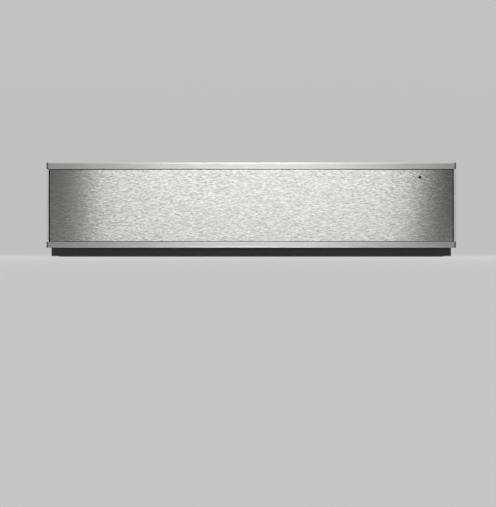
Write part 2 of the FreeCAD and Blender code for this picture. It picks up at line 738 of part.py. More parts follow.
def cover_screws():
    """Six countersunk screws, flush with the cover, because an oven may stand on it."""
    screws = []
    for x, y in cover_screw_spots():
        head = cone("Z", (x, y, "cover_z"), "cover_screw_radius", "cover_screw_head", "housing_sheet")
        foot = (x, y, "cover_z - cover_screw_length")
        screws.append(fuse(head, rod("Z", foot, "cover_screw_radius", "cover_screw_length")))
    keep(group(*screws), "cover_screws")


def rivet_rows():
    """How far along the slide its three rivets sit."""
    return ("slide_y + rivet_inset", "(slide_y + slide_end_y) / 2", "slide_end_y - rivet_inset")


def side_walls():
    """A wall folded in at top and bottom, drilled for the slide and for the cabinet screws."""
    wall = Piece("side_wall")
    outline = [
        ("housing_half", "housing_sheet"),
        ("housing_half", "cover_z"),
        ("fold_x", "cover_z"),
        ("fold_x", "cover_z - housing_sheet"),
        ("wall_x", "cover_z - housing_sheet"),
        ("wall_x", "2 * housing_sheet"),
        ("fold_x", "2 * housing_sheet"),
        ("fold_x", "housing_sheet"),
    ]
    wall.pad("XZ", [outline], ("niche_y", "wall_y"))
    through = ("wall_x - past", "housing_half + past")
    wall.pocket("YZ", [(y, "slide_middle", "rivet_radius") for y in rivet_rows()], through)
    screw_y = "niche_y + cabinet_hole_depth"
    holes = [(screw_y, z, "cabinet_hole_radius") for z in ("cabinet_low_z", "cabinet_high_z")]
    wall.pocket("YZ", holes, through)
    screws = [(x, y, "cover_screw_radius") for x, y in cover_screw_spots() if not x.startswith("-")]
    wall.pocket("XY", screws, ("cover_z - housing_sheet - past", "cover_z + past"))
    pair(wall.body, "side_wall")


def rear_wall():
    """The back of the housing, with folds, three groups of slots and the hole for the cable gland."""
    wall = Piece("rear_wall")
    wall.pad("XZ", [rectangle(HOUSING_X, ("housing_sheet", "cover_z"))], ("wall_y", "rear_y"))
    for low, high in (("housing_sheet", "2 * housing_sheet"), ("cover_z - housing_sheet", "cover_z")):
        fold = rectangle(even("fold_end_x"), (low, high))
        wall.pad("XZ", [fold], ("wall_y - fold_width", "wall_y"))
    through = ("wall_y - past", "rear_y + past")
    wall.pocket("XZ", [("inlet_place", "inlet_height", "gland_radius")], through)
    up = ("housing_height / 2 - vent_length / 2", "housing_height / 2 + vent_length / 2")
    row_length = f"{VENTS_IN_GROUP - 1} * vent_pitch"
    for step in VENT_GROUPS:
        left = f"{step} * vent_group_pitch - {row_length} / 2 - vent_width / 2"
        first = wall.pocket("XZ", [rectangle((left, f"{left} + vent_width"), up)], through)
        wall.repeat(first, "H_Axis", row_length, VENTS_IN_GROUP)
    keep(wall.body, "rear_wall")


def front_frame():
    """The dark frame round the mouth. Its lower bar shows under the drawer front."""
    frame = Piece("front_frame")
    ring = [
        rectangle(even("frame_half"), ("frame_bottom", "housing_height")),
        rectangle(even("wall_x"), ("sill_z", "head_z")),
    ]
    frame.pad("XZ", ring, ("frame_y", "niche_y"))
    for low, high in (("housing_sheet", "2 * housing_sheet"), ("cover_z - housing_sheet", "cover_z")):
        fold = rectangle(even("fold_end_x"), (low, high))
        frame.pad("XZ", [fold], ("niche_y", "niche_y + fold_width"))
    keep(frame.body, "front_frame")


def frame_seal():
    """The silicone seal that the closed front rests against."""
    seal = Piece("frame_seal")
    inner = (even("wall_x + seal_edge"), ("sill_z - seal_margin", "head_z + seal_margin"))
    outer = (
        even("wall_x + seal_edge + seal_width"),
        ("sill_z - seal_margin - seal_width", "head_z + seal_margin + seal_width"),
    )
    front = "back_y + seal_clearance"
    seal.pad("XZ", [rectangle(*outer), rectangle(*inner)], (front, "frame_y"))
    face = number("back_y") + number("seal_clearance")
    seal.round("seal_round", "XZ", lambda middle: abs(middle.y - face) < NEAR)
    keep(seal.body, "frame_seal")


base_pan()
side_walls()
rear_wall()
top_cover()
cover_screws()
front_frame()
frame_seal()


# ---------------------------------------------------------------------------------------------------------
# Slides: full-extension ball slides. Distances across are measured inward from the side wall.


def channel(web, edge, half, sheet):
    """The outline of a C-shaped member from its web to its edges, as high as twice its half."""
    away = "-" if web == "slide_depth" else "+"
    web_x = f"wall_x - {web}"
    web_inside = f"wall_x - ({web} {away} {sheet})"
    edge_x = f"wall_x - {edge}"
    return [
        (web_x, f"slide_middle - {half}"),
        (web_x, f"slide_middle + {half}"),
        (edge_x, f"slide_middle + {half}"),
        (edge_x, f"slide_middle + {half} - {sheet}"),
        (web_inside, f"slide_middle + {half} - {sheet}"),
        (web_inside, f"slide_middle - {half} + {sheet}"),
        (edge_x, f"slide_middle - {half} + {sheet}"),
        (edge_x, f"slide_middle - {half}"),
    ]


def slide_member(label, web, edge, half, drilled):
    """One steel member of a slide, bent from sheet."""
    member = Piece("slide_member")
    member.pad("XZ", [channel(web, edge, half, "slide_sheet")], ("slide_y", "slide_end_y"))
    bend_x = number("wall_x") - (number(web) if web != "0" else 0)
    member.round("slide_bend", "Y", lambda middle: abs(middle.x - bend_x) < NEAR)
    if drilled:
        holes = [(y, "slide_middle", "rivet_radius") for y in rivet_rows()]
        member.pocket("YZ", holes, (f"wall_x - {web} - 2 * slide_sheet", f"wall_x - {web} + 2 * slide_sheet"))
    pair(member.body, label)


def ball_cage(label, web, edge, ball_place, rise):
    """A thin cage with a row of balls along its top and bottom edges."""
    half = f"({rise} + cage_sheet / 2)"
    cage = Piece("cage_strip")
    cage.pad("XZ", [channel(web, edge, half, "cage_sheet")], ("cage_y", "cage_end_y"))
    pockets, balls = [], []
    for row in (-1, 1):
        for step in range(BALLS_IN_ROW):
            y = f"cage_y + ({step} + 0.5) * cage_length / {BALLS_IN_ROW}"
            z = f"slide_middle + {row} * {rise}"
            x = f"wall_x - {ball_place}"
            pockets.append(rod("Z", (x, y, f"{z} - past"), "ball_radius + ball_pocket", "2 * past"))
            balls.append(ball((x, y, z), "ball_radius"))
    both_sides([cut(cage.body, *pockets), *balls], label)


def rivets(label, flush_x, grip, head_x, first, last):
    """Rivets along X through a member and its wall, flush in the slide, with a low head outside it."""
    shanks = [rod("X", (flush_x, y, "slide_middle"), "rivet_radius", grip) for y in rivet_rows()]
    heads = [cone("X", (head_x, y, "slide_middle"), first, last, "rivet_head_height") for y in rivet_rows()]
    both_sides([fuse(shank, head) for shank, head in zip(shanks, heads)], label)


BALLS_IN_ROW = 8
slide_member("outer_rail", "0", "outer_reach", "outer_half", True)
slide_member("middle_rail", "middle_web", "middle_reach", "middle_half", False)
slide_member("inner_rail", "slide_depth", "inner_reach", "inner_half", True)
ball_cage("outer_cages", "outer_cage_web", "outer_cage_reach", "outer_ball_place", "outer_ball_rise")
ball_cage("inner_cages", "inner_cage_web", "inner_cage_reach", "inner_ball_place", "inner_ball_rise")
rivets(
    "outer_rail_rivets",
    "wall_x - slide_sheet",
    "slide_sheet + housing_sheet",
    "housing_half",
    "rivet_head_radius",
    "rivet_crown",
)
rivets(
    "inner_rail_rivets",
    "pan_half - pan_sheet",
    "slide_sheet + pan_sheet",
    "pan_half - pan_sheet - rivet_head_height",
    "rivet_crown",
    "rivet_head_radius",
)


# ---------------------------------------------------------------------------------------------------------
# Rear unit: what sits behind the drawer, on both sides of the partition.

FAN_CENTRE = ("0", "fan_height")
LEG_Z = "fan_height + ring_radius * cos(ring_gap_angle * 1 deg)"
AIR_GROUPS = (-1, 1)
OUTLETS = 3
INLETS = 10
BLADES = 16
RELAYS = 3


def partition():
    """The wall between the drawer's room and the motor bay. It carries the whole rear unit."""
    wall = Piece("partition")
    across, up = even("wall_x - partition_play"), ("2 * housing_sheet", "cover_z - housing_sheet")
    wall.pad("XZ", [rectangle(across, up)], ("partition_y", "bay_y"))
    for low, high in (("housing_sheet", up[0]), (up[1], "cover_z")):
        fold = rectangle(even("fold_end_x"), (low, high))
        wall.pad("XZ", [fold], ("partition_y", "bay_y + fold_width"))
    legs = [(f"{side} * ring_radius * sin(ring_gap_angle * 1 deg)", LEG_Z, "ring_tube") for side in (-1, 1)]
    studs = [(f"{side} * stud_x", "fan_height", "stud_radius") for side in (-1, 1)]
    shaft = ("0", "fan_height", "bearing_radius + shaft_play")
    limiter = ("limiter_place", "fan_height", "limiter_radius / 2")
    wall.pocket("XZ", [shaft, limiter, *legs, *studs], ("partition_y - past", "bay_y + past"))
    keep(wall.body, "partition")


def fan_cover():
    """The box over the fan: air in through the star of slots, and out through the rows beside it."""
    cover = Piece("fan_cover")
    inside = "duct_half - duct_sheet"
    outer = rectangle(even("duct_half"), ("duct_bottom", "duct_top"))
    inner = rectangle(even(inside), ("duct_bottom + duct_sheet", "duct_top - duct_sheet"))
    cover.pad("XZ", [outer], ("duct_y", "partition_y"))
    cover.pocket("XZ", [inner], ("duct_y + duct_sheet", "partition_y + past"))
    through = ("duct_y - past", "duct_y + duct_sheet + past")
    slot = rectangle(even("inlet_width / 2"), ("inlet_inner", "inlet_outer"))
    cover.spin(cover.pocket("XZ", [slot], through, FAN_CENTRE), INLETS)
    for side in AIR_GROUPS:
        near = f"{side} * outlet_place - outlet_width / 2"
        across = (near, f"{near} + outlet_width")
        row = cover.pocket("XZ", [rectangle(across, even("outlet_length / 2"))], through, FAN_CENTRE)
        pattern = cover.repeat(row, "H_Axis", f"{OUTLETS - 1} * outlet_pitch", OUTLETS)
        pattern.Reversed = side < 0
        doc.recompute()
    keep(cover.body, "fan_cover")


def fan_wheel():
    """A radial wheel with a back plate, a hub and slanted blades."""
    wheel = Piece("fan_wheel")
    bore = ("0", "0", "shaft_radius")
    plate_y = "fan_back_y - fan_sheet"
    wheel.pad("XZ", [("0", "0", "fan_radius"), bore], (plate_y, "fan_back_y"), FAN_CENTRE)
    hub = [("0", "0", "hub_radius"), bore]
    wheel.pad("XZ", hub, ("fan_front_y + nut_height + 2 * fan_sheet", plate_y), FAN_CENTRE)
    blade = [
        ("0", "fan_eye"),
        ("fan_sheet", "fan_eye"),
        ("fan_sheet + blade_slant", "fan_radius - fan_sheet"),
        ("blade_slant", "fan_radius - fan_sheet"),
    ]
    wheel.spin(wheel.pad("XZ", [blade], ("fan_front_y", plate_y), FAN_CENTRE), BLADES)
    keep(wheel.body, "fan_wheel")


def fan_shaft():
    """The shaft through wheel, bearings and rotor, and the nut that holds the wheel."""
    start = "fan_front_y + 2 * fan_sheet"
    length = f"motor_end_y + shaft_end - ({start})"
    keep(rod("Y", ("0", start, "fan_height"), "shaft_radius", length), "fan_shaft")
    nut = doc.addObject("Part::Prism", "Hexagon")
    nut.Polygon = 6
    nut.Placement.Rotation = TURN_TO["Y"]
    bind(nut, Circumradius="nut_width / cos(30 deg)", Height="nut_height")
    place(nut, "0", start, "fan_height")
    thread = rod("Y", ("0", f"{start} - past", "fan_height"), "shaft_radius", "nut_height + 2 * past")
    keep(cut(nut, thread), "fan_nut")
    whole = rod("Y", ("0", "stack_y", "fan_height"), "rotor_radius", "stack_depth")
    bore = rod("Y", ("0", "stack_y - past", "fan_height"), "shaft_radius", "stack_depth + 2 * past")
    keep(cut(whole, bore), "motor_rotor")


def ring_heater():
    """A tube bent into an open ring round the fan, whose two ends turn back through the partition."""
    ring = doc.addObject("Part::Torus", "Ring")
    gap = number("ring_gap_angle")
    to_gap = Rotation(AXES["Y"], gap - 90)
    ring.Placement.Rotation = to_gap.multiply(TURN_TO["Y"])
    bind(ring, Radius1="ring_radius", Radius2="ring_tube", Angle3="360 - 2 * ring_gap_angle")
    place(ring, "0", "ring_y", "fan_height")
    pieces = [ring]
    for side in (-1, 1):
        x = f"{side} * ring_radius * sin(ring_gap_angle * 1 deg)"
        length = "bay_y + leg_length - ring_y"
        pieces.append(ball((x, "ring_y", LEG_Z), "ring_knuckle"))
        pieces.append(rod("Y", (x, "ring_y", LEG_Z), "ring_tube", length))
    reach = "(ring_radius * sin(ring_gap_angle * 1 deg) + 2 * ring_tube)"
    rise = (f"{LEG_Z} - 2 * ring_tube", f"{LEG_Z} + 2 * ring_tube")
    pieces.append(block(even(reach), ("bay_y", "bay_y + leg_plate"), rise))
    keep(fuse(*pieces), "ring_heater")


def motor_bracket(label, plate_y, feet):
    """A bar across the motor with a bearing in its middle and a spacer at each stud."""
    height = ("fan_height - bracket_half_height", "fan_height + bracket_half_height")
    end_y = f"{plate_y} + bracket_sheet"
    bar = block(even("stack_half"), (plate_y, end_y), height)
    boss_y = f"{plate_y} - bearing_reach"
    boss = rod("Y", ("0", boss_y, "fan_height"), "bearing_radius", "bracket_sheet + 2 * bearing_reach")
    solids, holes = [bar, boss], []
    for side in (-1, 1):
        x = f"{side} * stud_x"
        for near, far in feet:
            solids.append(rod("Y", (x, near, "fan_height"), "spacer_radius", f"({far}) - ({near})"))
        holes.append(rod("Y", (x, f"{feet[0][0]} - past", "fan_height"), "stud_radius", "2 * motor_bay"))
    hole_radius = "shaft_radius + shaft_play"
    holes.append(rod("Y", ("0", f"{plate_y} - motor_bay / 2", "fan_height"), hole_radius, "motor_bay"))
    keep(cut(fuse(*solids), *holes), label)


def motor():
    """A shaded-pole motor: an iron stack with its coil round the lower bar, held by two long studs."""
    motor_bracket("motor_front_bracket", "bracket_y", [
        ("bay_y", "bracket_y"),
        ("bracket_y + bracket_sheet", "stack_y"),
    ])
    motor_bracket("motor_rear_bracket", "rear_bracket_y", [("stack_end_y", "rear_bracket_y")])
    stack = Piece("motor_stack")
    window = rectangle(even("window_half"), ("core_top", "core_top + window_height"))
    studs = [(f"{side} * stud_x", "fan_height", "stud_radius") for side in (-1, 1)]
    outline = rectangle(even("stack_half"), ("stack_low", "stack_high"))
    bore = ("0", "fan_height", "rotor_radius + rotor_play")
    stack.pad("XZ", [outline, window, bore, *studs], ("stack_y", "stack_end_y"))
    keep(stack.body, "motor_stack")
    long_way = ("stack_y - coil_overhang", "stack_end_y + coil_overhang")
    wound = block(even("coil_half"), long_way, ("stack_low - coil_wind", "core_top + coil_wind"))
    core = block(even("coil_half + past"), ("stack_y", "stack_end_y"), ("stack_low", "core_top"))
    keep(cut(wound, core), "motor_coil")
    screws = []
    for side in (-1, 1):
        x = f"{side} * stud_x"
        shank = rod("Y", (x, "partition_y", "fan_height"), "stud_radius", "motor_end_y - partition_y")
        head = rod("Y", (x, "motor_end_y", "fan_height"), "screw_head_radius", "screw_head_height")
        screws.append(fuse(shank, head))
    keep(group(*screws), "motor_studs")


def limiter():
    """The overheat switch: a can on the partition with two flat terminals."""
    can = rod("Y", ("limiter_place", "bay_y", "fan_height"), "limiter_radius", "limiter_depth")
    blades = []
    for side in (-1, 1):
        x = f"limiter_place + {side} * limiter_radius / 2"
        across = (f"{x} - board_sheet / 4", f"{x} + board_sheet / 4")
        up = ("fan_height - rivet_radius", "fan_height + rivet_radius")
        blades.append(block(across, ("bay_y + limiter_depth / 2", "bay_y + 2 * limiter_depth"), up))
    keep(fuse(can, *blades), "thermal_limiter")


def electronics():
    """A plastic tray on the partition with the power board, its relays and its transformer."""
    across = ("tray_left", "tray_right")
    up = ("tray_bottom", "tray_top")
    floor_y = "bay_y + tray_wall"
    tray = Piece("board_tray")
    tray.pad("XZ", [rectangle(across, up)], ("bay_y", "bay_y + tray_depth"))
    inner_x = (f"{across[0]} + tray_wall", f"{across[1]} - tray_wall")
    inner_z = (f"{up[0]} + tray_wall", f"{up[1]} - tray_wall")
    tray.pocket("XZ", [rectangle(inner_x, inner_z)], (floor_y, "bay_y + tray_depth + past"))
    inset = "(post_radius + post_inset)"
    corners = [
        (x, z, "post_radius")
        for x in (f"board_left + {inset}", f"board_right - {inset}")
        for z in (f"board_low + {inset}", f"board_high - {inset}")
    ]
    tray.pad("XZ", corners, (floor_y, "board_y"))
    keep(tray.body, "board_tray")
    board = Piece("power_board")
    outline = rectangle(("board_left", "board_right"), ("board_low", "board_high"))
    board.pad("XZ", [outline], ("board_y", "board_face_y"))
    keep(board.body, "power_board")
    relays = []
    for step in range(RELAYS):
        left = f"board_left + relay_inset + {step} * relay_pitch"
        wide = (left, f"{left} + relay_width")
        high = ("board_high - relay_inset - relay_height", "board_high - relay_inset")
        relays.append(block(wide, ("board_face_y", "board_face_y + relay_depth"), high))
    keep(group(*relays), "power_relays")
    wide = ("board_left + relay_inset", "board_left + relay_inset + transformer_width")
    high = ("board_low + relay_inset", "board_low + relay_inset + transformer_height")
    keep(block(wide, ("board_face_y", "board_face_y + transformer_depth"), high), "board_transformer")


def mains_inlet():
    """The cable gland in the back wall and the terminal block inside it."""
    centre = ("inlet_place", "inlet_height")
    flange_y = "wall_y - gland_flange_depth"
    body = rod("Y", (centre[0], "rear_y - gland_inside", centre[1]), "gland_radius", "gland_inside")
    flange = rod("Y", (centre[0], flange_y, centre[1]), "gland_flange", "gland_flange_depth")
    bore = rod("Y", (centre[0], "rear_y - 2 * gland_inside", centre[1]), "cable_radius", "3 * gland_inside")
    keep(cut(fuse(body, flange), bore), "cable_gland")
    left = "inlet_place - block_width / 2"
    low = "inlet_height + gland_flange + 2 * post_radius"
    deep = ("bay_y", "bay_y + block_depth")
    solid = block((left, f"{left} + block_width"), deep, (low, f"{low} + block_height"))
    ways = []
    for step in (-1, 0, 1):
        x = f"inlet_place + {step} * block_pitch"
        middle_y = "bay_y + block_depth / 2"
        ways.append(rod("Y", (x, middle_y, f"{low} + 0.7 * block_height"), "screw_radius", "block_depth"))
        ways.append(rod("Z", (x, middle_y, f"{low} - past"), "screw_radius", "block_height / 2"))
    keep(cut(solid, *ways), "terminal_block")


def closing_magnet():
    """A magnet in a plastic holder on the partition, and the steel plate that it draws on the pan."""
    across = ("catch_place - catch_half", "catch_place + catch_half")
    up = ("fan_height - catch_rise", "fan_height + catch_rise")
    sunk_x = (f"{across[0]} + catch_wall", f"{across[1]} - catch_wall")
    sunk_z = (f"{up[0]} + catch_wall", f"{up[1]} - catch_wall")
    pocket = block(sunk_x, ("catch_y - past", "catch_y + magnet_depth"), sunk_z)
    holder = cut(block(across, ("catch_y", "partition_y"), up), pocket)
    magnet = block(sunk_x, ("catch_y", "catch_y + magnet_depth"), sunk_z)
    keep(group(holder, magnet), "magnet_catch")
    plate = Piece("strike_plate")
    plate.pad("XZ", [rectangle(across, up)], ("pan_end_y", "strike_y"))
    corner = number("catch_place")
    plate.round("catch_wall", "Y", lambda middle: abs(middle.x - corner) > 1)
    keep(plate.body, "strike_plate")


partition()
fan_cover()
fan_wheel()
fan_shaft()
ring_heater()
motor()
limiter()
electronics()
mains_inlet()
closing_magnet()


# ---------------------------------------------------------------------------------------------------------
# Drawer front: a steel panel in a frame of aluminium rails and strips, with a black joint round it.


def rails():
    """The two extruded rails, both open towards the panel."""
    back_inside = "back_y - rail_wall"
    face_inside = "rail_face_y + rail_wall"
    upper = Piece("top_rail")
    upper.pad("YZ", [[
        ("rail_face_y", "upper_rail_z"),
        ("rail_face_y", "front_top - rail_bevel"),
        ("rail_face_y + rail_bevel", "front_top"),
        ("back_y", "front_top"),
        ("back_y", "upper_rail_z"),
        (back_inside, "upper_rail_z"),
        (back_inside, "front_top - rail_wall"),
        (face_inside, "front_top - rail_wall"),
        (face_inside, "upper_rail_z"),
    ]], even("rail_half"))
    keep(upper.body, "top_rail")
    lower = Piece("bottom_rail")
    lower.pad("YZ", [[
        ("front_y", "front_bottom"),
        ("front_y", "front_bottom + lip_height"),
        ("rail_face_y", "front_bottom + lip_height"),
        ("rail_face_y", "lower_rail_z"),
        (face_inside, "lower_rail_z"),
        (face_inside, "front_bottom + rail_wall"),
        (back_inside, "front_bottom + rail_wall"),
        (back_inside, "lower_rail_z"),
        ("back_y", "lower_rail_z"),
        ("back_y", "front_bottom"),
    ]], even("rail_half"))
    keep(lower.body, "bottom_rail")


def end_caps():
    """Four plastic caps, each with a peg that plugs into its rail."""
    caps = []
    plate_x = ("rail_half", "front_half")
    peg_x = ("rail_half - peg_length", "rail_half")
    peg_y = ("rail_face_y + rail_wall + slip", "tongue_y - carrier_sheet - slip")
    upper_peg = ("upper_rail_z", "front_top - rail_wall - slip")
    lower_peg = ("front_bottom + rail_wall + slip", "lower_rail_z")
    rails_z = (("upper_rail_z", "front_top"), ("front_bottom", "lower_rail_z"))
    for up, peg in zip(rails_z, (upper_peg, lower_peg)):
        plate = block(plate_x, ("front_y + end_cap_setback", "back_y"), up)
        caps.append(fuse(plate, block(peg_x, peg_y, peg)))
    both_sides(caps, "rail_end_caps")


def edge_strips():
    """The strip up each side of the front: a narrow face and a leg that runs back."""
    strip = Piece("strip")
    strip.pad("XY", [[
        ("strip_x", "rail_face_y"),
        ("front_half", "rail_face_y"),
        ("front_half", "back_y"),
        ("rail_half", "back_y"),
        ("rail_half", "rail_face_y + strip_wall"),
        ("strip_x", "rail_face_y + strip_wall"),
    ]], ("lower_rail_z", "upper_rail_z"))
    both_sides([strip.body], "edge_strips")


def front_panel():
    """The brushed steel panel, with its four edges folded back and a hole for the red window."""
    panel = Piece("front_panel")
    outer = rectangle(even("panel_half"), ("panel_low", "panel_high"))
    panel.pad("XZ", [outer], ("panel_y", "panel_y + panel_return"))
    inner_z = ("panel_low + panel_sheet", "panel_high - panel_sheet")
    inner = rectangle(even("panel_half - panel_sheet"), inner_z)
    panel.pocket("XZ", [inner], ("panel_back_y", "panel_y + panel_return + past"))
    panel.pocket("XZ", [("lens_place", "lens_z", "lens_radius")], ("panel_y - past", "panel_back_y + past"))
    face = number("panel_y")
    panel.round("panel_round", "XZ", lambda middle: abs(middle.y - face) < NEAR)
    keep(panel.body, "front_panel")


def panel_gasket():
    """The black strip that fills the joint between the panel and its frame."""
    ring = Piece("panel_gasket")
    loops = [
        rectangle(even("strip_x"), ("lower_rail_z", "upper_rail_z")),
        rectangle(even("panel_half"), ("panel_low", "panel_high")),
    ]
    ring.pad("XZ", loops, ("front_y + joint_setback", "front_y + joint_setback + joint_depth"))
    keep(ring.body, "panel_gasket")


SCREW_SPOTS = [
    (x, z)
    for x in ("-front_screw_place", "front_screw_place")
    for z in ("screw_low_z", "screw_high_z")
]


def front_carrier():
    """The plate behind the front. Its edges step forward into the rails, and the pan is screwed to it."""
    plate = Piece("front_carrier")
    tongue_face = "tongue_y - carrier_sheet"
    low, high = "lower_rail_z + slip", "upper_rail_z - slip"
    plate.pad("YZ", [[
        (tongue_face, "lower_rail_z - carrier_tongue"),
        ("tongue_y", "lower_rail_z - carrier_tongue"),
        ("tongue_y", low),
        ("back_y", low),
        ("back_y", high),
        ("tongue_y", high),
        ("tongue_y", "upper_rail_z + carrier_tongue"),
        (tongue_face, "upper_rail_z + carrier_tongue"),
        (tongue_face, f"{high} - carrier_sheet"),
        ("carrier_face_y", f"{high} - carrier_sheet"),
        ("carrier_face_y", f"{low} + carrier_sheet"),
        (tongue_face, f"{low} + carrier_sheet"),
    ]], even("rail_half"))
    holes = [(x, z, "screw_radius") for x, z in SCREW_SPOTS]
    holes.append(("lens_place", "lens_z", "pipe_radius + slip"))
    plate.pocket("XZ", holes, ("carrier_face_y - past", "back_y + past"))
    keep(plate.body, "front_carrier")


def front_insulation():
    """A felt that fills the front behind the panel, and keeps the panel cool to the touch."""
    edge = "(panel_sheet + felt_clearance)"
    felt = Piece("front_insulation")
    up = (f"panel_low + {edge}", f"panel_high - {edge}")
    across = even(f"panel_half - {edge}")
    felt.pad("XZ", [rectangle(across, up)], ("panel_back_y + felt_play", "carrier_face_y - felt_play"))
    holes = [(x, z, "screw_head_radius") for x, z in SCREW_SPOTS]
    holes.append(("lens_place", "lens_z", "lens_flange + felt_play"))
    felt.pocket("XZ", holes, ("panel_back_y", "back_y"))
    keep(felt.body, "front_insulation")


def indicator_lens():
    """The red window in the panel and the light pipe that feeds it from the lamp in the drawer."""
    centre = ("lens_place", "lens_z")
    window = rod("Y", (centre[0], "panel_y", centre[1]), "lens_radius", "panel_sheet + lens_flange_depth")
    collar = rod("Y", (centre[0], "panel_back_y", centre[1]), "lens_flange", "lens_flange_depth")
    length = "back_y + pan_sheet + pipe_reach - panel_y"
    pipe = rod("Y", (centre[0], "panel_y", centre[1]), "pipe_radius", length)
    keep(fuse(window, collar, pipe), "indicator_lens")


def front_screws():
    """Four screws from inside the pan into the carrier."""
    screws = []
    for x, z in SCREW_SPOTS:
        length = "pan_sheet + carrier_sheet + screw_reach"
        shank = rod("Y", (x, "carrier_face_y - screw_reach", z), "screw_radius", length)
        head = rod("Y", (x, "back_y + pan_sheet", z), "screw_head_radius", "screw_head_height")
        screws.append(fuse(shank, head))
    keep(group(*screws), "front_screws")


rails()
end_caps()
edge_strips()
front_panel()
panel_gasket()
front_carrier()
front_insulation()
indicator_lens()
front_screws()


# ---------------------------------------------------------------------------------------------------------
# Drawer: the pan on the slides, the tub that hangs in it, and the heated floor in the tub.


def air_slots(y):
    """Upright slots for the hot air, in line with those of the fan cover."""
    places_x = [f"{step} * tub_vent_pitch" for step in range(-3, 4)]
    for side in AIR_GROUPS:
        places_x += [f"{side} * (outlet_place + {step} * outlet_pitch)" for step in range(OUTLETS)]
    up = ("air_z - tub_vent_height / 2", "air_z + tub_vent_height / 2")
    return [block((f"{x} - tub_vent_width / 2", f"{x} + tub_vent_width / 2"), y, up) for x in places_x]


def drawer_pan():
    """The steel tray that rides on the slides."""
    pan = Piece("pan_shell")
    pan.pad("XY", [rectangle(even("pan_half"), ("back_y", "pan_end_y"))], ("pan_bottom", "rim_z"))
    inner = rectangle(even("pan_half - pan_sheet"), ("back_y + pan_sheet", "pan_end_y - pan_sheet"))
    pan.pocket("XY", [inner], ("pan_floor", "rim_z + past"))
    holes = [(y, "slide_middle", "rivet_radius") for y in rivet_rows()]
    pan.pocket("YZ", holes, ("-pan_half - past", "pan_half + past"))
    screws = [(x, z, "screw_radius") for x, z in SCREW_SPOTS]
    screws.append(("lens_place", "lens_z", "pipe_radius + slip"))
    pan.pocket("XZ", screws, ("back_y - past", "back_y + pan_sheet + past"))
    keep(cut(pan.body, *air_slots(("pan_end_y - pan_sheet - past", "pan_end_y + past"))), "drawer_pan")


def drawer_tub():
    """The stainless tub: a wide rim, upright walls and a ledge that carries the floor."""
    tub = Piece("tub_shell")
    tub.pad("XY", [rectangle(even("pan_half"), ("back_y", "pan_end_y"))], ("rim_z", "rim_height"))
    outer_y = ("tub_front_y - tub_sheet", "tub_back_y + tub_sheet")
    tub.pad("XY", [rectangle(even("tub_half + tub_sheet"), outer_y)], ("ledge_height", "rim_z"))
    room = rectangle(even("tub_half"), ("tub_front_y", "tub_back_y"))
    tub.pocket("XY", [room], ("ledge_top", "rim_height + past"))
    inside = number("tub_half")
    tub.round("tub_corner", "Z", lambda middle: abs(abs(middle.x) - inside) < NEAR)
    outside = number("tub_half") + number("tub_sheet")
    tub.round("tub_corner + tub_sheet", "Z", lambda middle: abs(abs(middle.x) - outside) < NEAR)
    hole = rectangle(even("hole_half"), ("hole_front_y", "hole_back_y"))
    tub.pocket("XY", [hole], ("ledge_height - past", "ledge_top + past"))
    behind = air_slots(("tub_back_y - past", "tub_back_y + tub_sheet + past"))
    well_y = ("control_y", "control_end_y")
    well = block(("control_left", "control_right"), well_y, ("rim_z - past", "rim_height + past"))
    keep(cut(tub.body, well, *behind), "drawer_tub")


def heated_floor():
    """A toughened glass plate on a silicone strip, with the heating mat and its sensor under it."""
    strip = Piece("floor_gasket")
    outer_y = ("tub_front_y + pad_margin", "tub_back_y - pad_margin")
    inner_y = ("hole_front_y - pad_margin", "hole_back_y + pad_margin")
    outer = rectangle(even("tub_half - pad_margin"), outer_y)
    inner = rectangle(even("hole_half + pad_margin"), inner_y)
    strip.pad("XY", [outer, inner], ("ledge_top", "glass_z"))
    half = number("tub_half") - number("pad_margin")
    strip.round("tub_corner - pad_margin", "Z", lambda middle: abs(abs(middle.x) - half) < NEAR)
    keep(strip.body, "floor_gasket")
    glass = Piece("glass_floor")
    glass_y = ("tub_front_y + glass_play", "tub_back_y - glass_play")
    glass.pad("XY", [rectangle(even("tub_half - glass_play"), glass_y)], ("glass_z", "glass_top"))
    glass.round("tub_corner - glass_play", "Z", lambda middle: abs(middle.x) > 1)
    keep(glass.body, "glass_floor")
    mat_y = ("hole_front_y + mat_margin", "hole_back_y - mat_margin")
    keep(block(even("hole_half - mat_margin"), mat_y, ("glass_z - mat_sheet", "glass_z")), "floor_heater")
    felt = block(
        even("tub_half"),
        ("tub_front_y", "tub_back_y"),
        ("pan_floor + felt_lift", "pan_floor + felt_lift + felt_height"),
    )
    spot = ("sensor_place", "0", "pan_floor")
    keep(cut(felt, rod("Z", spot, "sensor_radius + slip", "2 * felt_height")), "floor_insulation")
    bulb = ("sensor_place", "0", "glass_z - mat_sheet - sensor_height")
    keep(rod("Z", bulb, "sensor_radius", "sensor_height"), "floor_sensor")


drawer_pan()
drawer_tub()
heated_floor()


# ---------------------------------------------------------------------------------------------------------
# Control: a dial sunk in the front rim, so that it clears the mouth when the drawer shuts.

POSTS_X = ("control_middle - control_board_width / 2", "control_middle + control_board_width / 2")
POSTS_Y = ("dial_y - control_board_depth / 2", "dial_y + control_board_depth / 2")


def board_corners():
    """Where the four posts meet the control board."""
    inset = "(post_radius + post_inset)"
    along = (f"{POSTS_X[0]} + {inset}", f"{POSTS_X[1]} - {inset}")
    across = (f"{POSTS_Y[0]} + {inset}", f"{POSTS_Y[1]} - {inset}")
    return [(x, y, "post_radius") for x in along for y in across]


